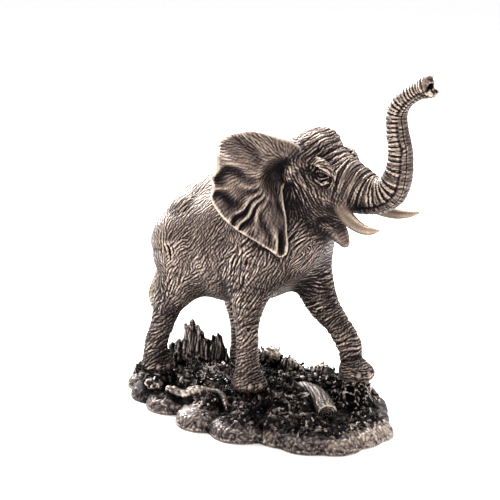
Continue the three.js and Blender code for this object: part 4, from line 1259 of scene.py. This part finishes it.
# Cold-cast bronze: bronze powder in resin, stained nearly black all over, then wiped and
# dry-brushed, so the hollows stay dark and dull and every crest shows warm tan metal with a
# soft sheen
antiqueBronze = {
    "figure": {
        "tones": ["#120e10", "#2c2524", "#5a4c46", "#8f7c6f", "#c6b3a2"],
        "stops": [0.0, 0.26, 0.5, 0.74, 1.0],
        "crestReach": 0.15, "swellReach": 0.8, "hollowShare": 0.62, "level": 0.46,
        "roughness": [0.66, 0.34], "shine": [0.1, 0.55], "metallic": 0.5,
        "grain": 0.5, "blotch": 9,  # in millimetres
    },
    "ground": {
        "tones": ["#0b090b", "#1e1a1b", "#4a403e", "#857569", "#c4b6a8"],
        "stops": [0.0, 0.3, 0.55, 0.78, 1.0],
        "crestReach": 0.3, "swellReach": 1.6, "hollowShare": 0.8, "level": 0.5,
        "roughness": [0.64, 0.32], "shine": [0.08, 0.6], "metallic": 0.5, "grain": 0.6, "blotch": 8,
    },
    "litter": {
        "tones": ["#0a080a", "#191617", "#3d3534", "#7c6e65", "#c9beb3"],
        "stops": [0.0, 0.34, 0.6, 0.8, 1.0],
        "crestReach": 0.9, "swellReach": 1.6, "hollowShare": 0.55, "level": 0.5,
        "roughness": [0.6, 0.32], "shine": [0.08, 0.6], "metallic": 0.5, "grain": 0.6, "blotch": 8,
    },
}
# The tusks are wiped cleaner, to a smooth lighter tan, and the eyes are left dark and polished
horn = {"tones": ["#332a26", "#705f53", "#a8937f"], "stops": [0.1, 0.5, 0.9]}
eye = {"tone": "#1a1615", "roughness": 0.15}


def bronzeMaterial(name, look):
    material = bpy.data.materials.new(name)
    material.use_nodes = True
    tree = material.node_tree
    shader = tree.nodes["Principled BSDF"]
    place = addNode(tree, "ShaderNodeTexCoord").outputs["Object"]
    crest, swell, patinaAndShade, tusks, eyes = (
        addNode(tree, "ShaderNodeAttribute", attribute_name=name).outputs["Fac"]
        for name in ("crest", "swell", "patinaAndShade", "horn", "eye"))
    grain = addNode(tree, "ShaderNodeTexNoise", {"Vector": place, "Scale": 1000 / look["grain"],
                                                 "Detail": 3}).outputs["Fac"]
    blotch = addNode(tree, "ShaderNodeTexNoise", {"Vector": place, "Scale": 1000 / look["blotch"],
                                                  "Detail": 4, "Roughness": 0.6}).outputs["Fac"]
    grainShift, blotchShift = (
        addNode(tree, "ShaderNodeMath", {0: texture, 1: -0.5}, operation="ADD").outputs[0]
        for texture in (grain, blotch))
    # The tone rises on crests and swells and falls with the attribute of patina and painted shade
    tone = look["level"]
    for source, share in ((crest, 0.5 / look["crestReach"]), (swell, 0.3 / look["swellReach"]),
                          (patinaAndShade, -look["hollowShare"]), (grainShift, stainShift["grain"]),
                          (blotchShift, stainShift["blotch"])):
        tone = addNode(tree, "ShaderNodeMath", {0: source, 1: share, 2: tone},
                       operation="MULTIPLY_ADD").outputs[0]
    ramps = []
    for finish in (look, horn):
        ramp = addNode(tree, "ShaderNodeValToRGB", {"Fac": tone})
        for stop in finish["stops"][1:-1]:
            ramp.color_ramp.elements.new(stop)
        for element, stop, shade in zip(ramp.color_ramp.elements, finish["stops"], finish["tones"]):
            element.position = stop
            element.color = linear(shade)
        ramps.append(ramp.outputs["Color"])
    colour = addNode(tree, "ShaderNodeMix", {0: tusks, 6: ramps[0], 7: ramps[1]},
                     data_type="RGBA").outputs[2]
    colour = addNode(tree, "ShaderNodeMix", {0: eyes, 6: colour, 7: linear(eye["tone"])},
                     data_type="RGBA").outputs[2]
    tree.links.new(colour, shader.inputs["Base Color"])
    gloss = addNode(tree, "ShaderNodeMapRange", {0: tone, 1: 0.1, 2: 0.9, 3: look["roughness"][0],
                                                 4: look["roughness"][1]}).outputs[0]
    gloss = addNode(tree, "ShaderNodeMix", {0: eyes, 2: gloss, 3: eye["roughness"]}).outputs[0]
    tree.links.new(gloss, shader.inputs["Roughness"])
    shine = addNode(tree, "ShaderNodeMapRange", {0: tone, 1: 0.2, 2: 0.75, 3: look["shine"][0],
                                                 4: look["shine"][1]}).outputs[0]
    tree.links.new(shine, shader.inputs["Specular IOR Level"])
    shader.inputs["Metallic"].default_value = look["metallic"]
    bump = addNode(tree, "ShaderNodeBump", {"Strength": 0.35, "Distance": 0.0002, "Height": grain})
    tree.links.new(bump.outputs["Normal"], shader.inputs["Normal"])
    return material


# A plain pale floor, and soft studio light: the strongest comes from behind, high on the left
studio = {
    "floor": "#fafafa",
    "world": 1.02,
    "lights": [  # where each stands, in metres, its size, its power and what it is for
        {"name": "back_left", "at": [-0.8, 0.35, 0.62], "size": 0.6, "power": 30},
        {"name": "overhead", "at": [-0.15, 0.4, 0.95], "size": 0.7, "power": 15},
        {"name": "front_fill", "at": [0.1, -1.1, 0.7], "size": 0.9, "power": 3},
    ],
}


def makeStudio():
    bpy.ops.mesh.primitive_plane_add(size=8)
    floor = bpy.context.object
    floor.name = "floor"
    material = bpy.data.materials.new("white_paper")
    material.use_nodes = True
    shader = material.node_tree.nodes["Principled BSDF"]
    shader.inputs["Base Color"].default_value = linear(studio["floor"])
    shader.inputs["Roughness"].default_value = 0.9
    floor.data.materials.append(material)
    aim = Vector(viewpoint["target"]) / 1000
    for light in studio["lights"]:
        area = bpy.data.lights.new(light["name"], "AREA")
        area.shape = "DISK"
        area.size = light["size"]
        area.energy = light["power"]
        lamp = bpy.data.objects.new(light["name"], area)
        lamp.location = light["at"]
        lamp.rotation_euler = (aim - lamp.location).to_track_quat("-Z", "Y").to_euler()
        bpy.context.scene.collection.objects.link(lamp)
    world = bpy.data.worlds.new("white_room")
    world.use_nodes = True
    world.node_tree.nodes["Background"].inputs["Color"].default_value = (1, 1, 1, 1)
    world.node_tree.nodes["Background"].inputs["Strength"].default_value = studio["world"]
    bpy.context.scene.world = world
    bpy.context.scene.view_settings.view_transform = "Standard"


figureFinish = bronzeMaterial("cold_cast_bronze_figure", antiqueBronze["figure"])
for part in makeElephant():
    part.data.materials.append(figureFinish)
base, *surface = makeGround()
base.data.materials.append(bronzeMaterial("cold_cast_bronze_ground", antiqueBronze["ground"]))
leaves = makeLitter(*surface)
leaves.data.materials.append(bronzeMaterial("cold_cast_bronze_litter", antiqueBronze["litter"]))
makeStudio()
report("studio ready")
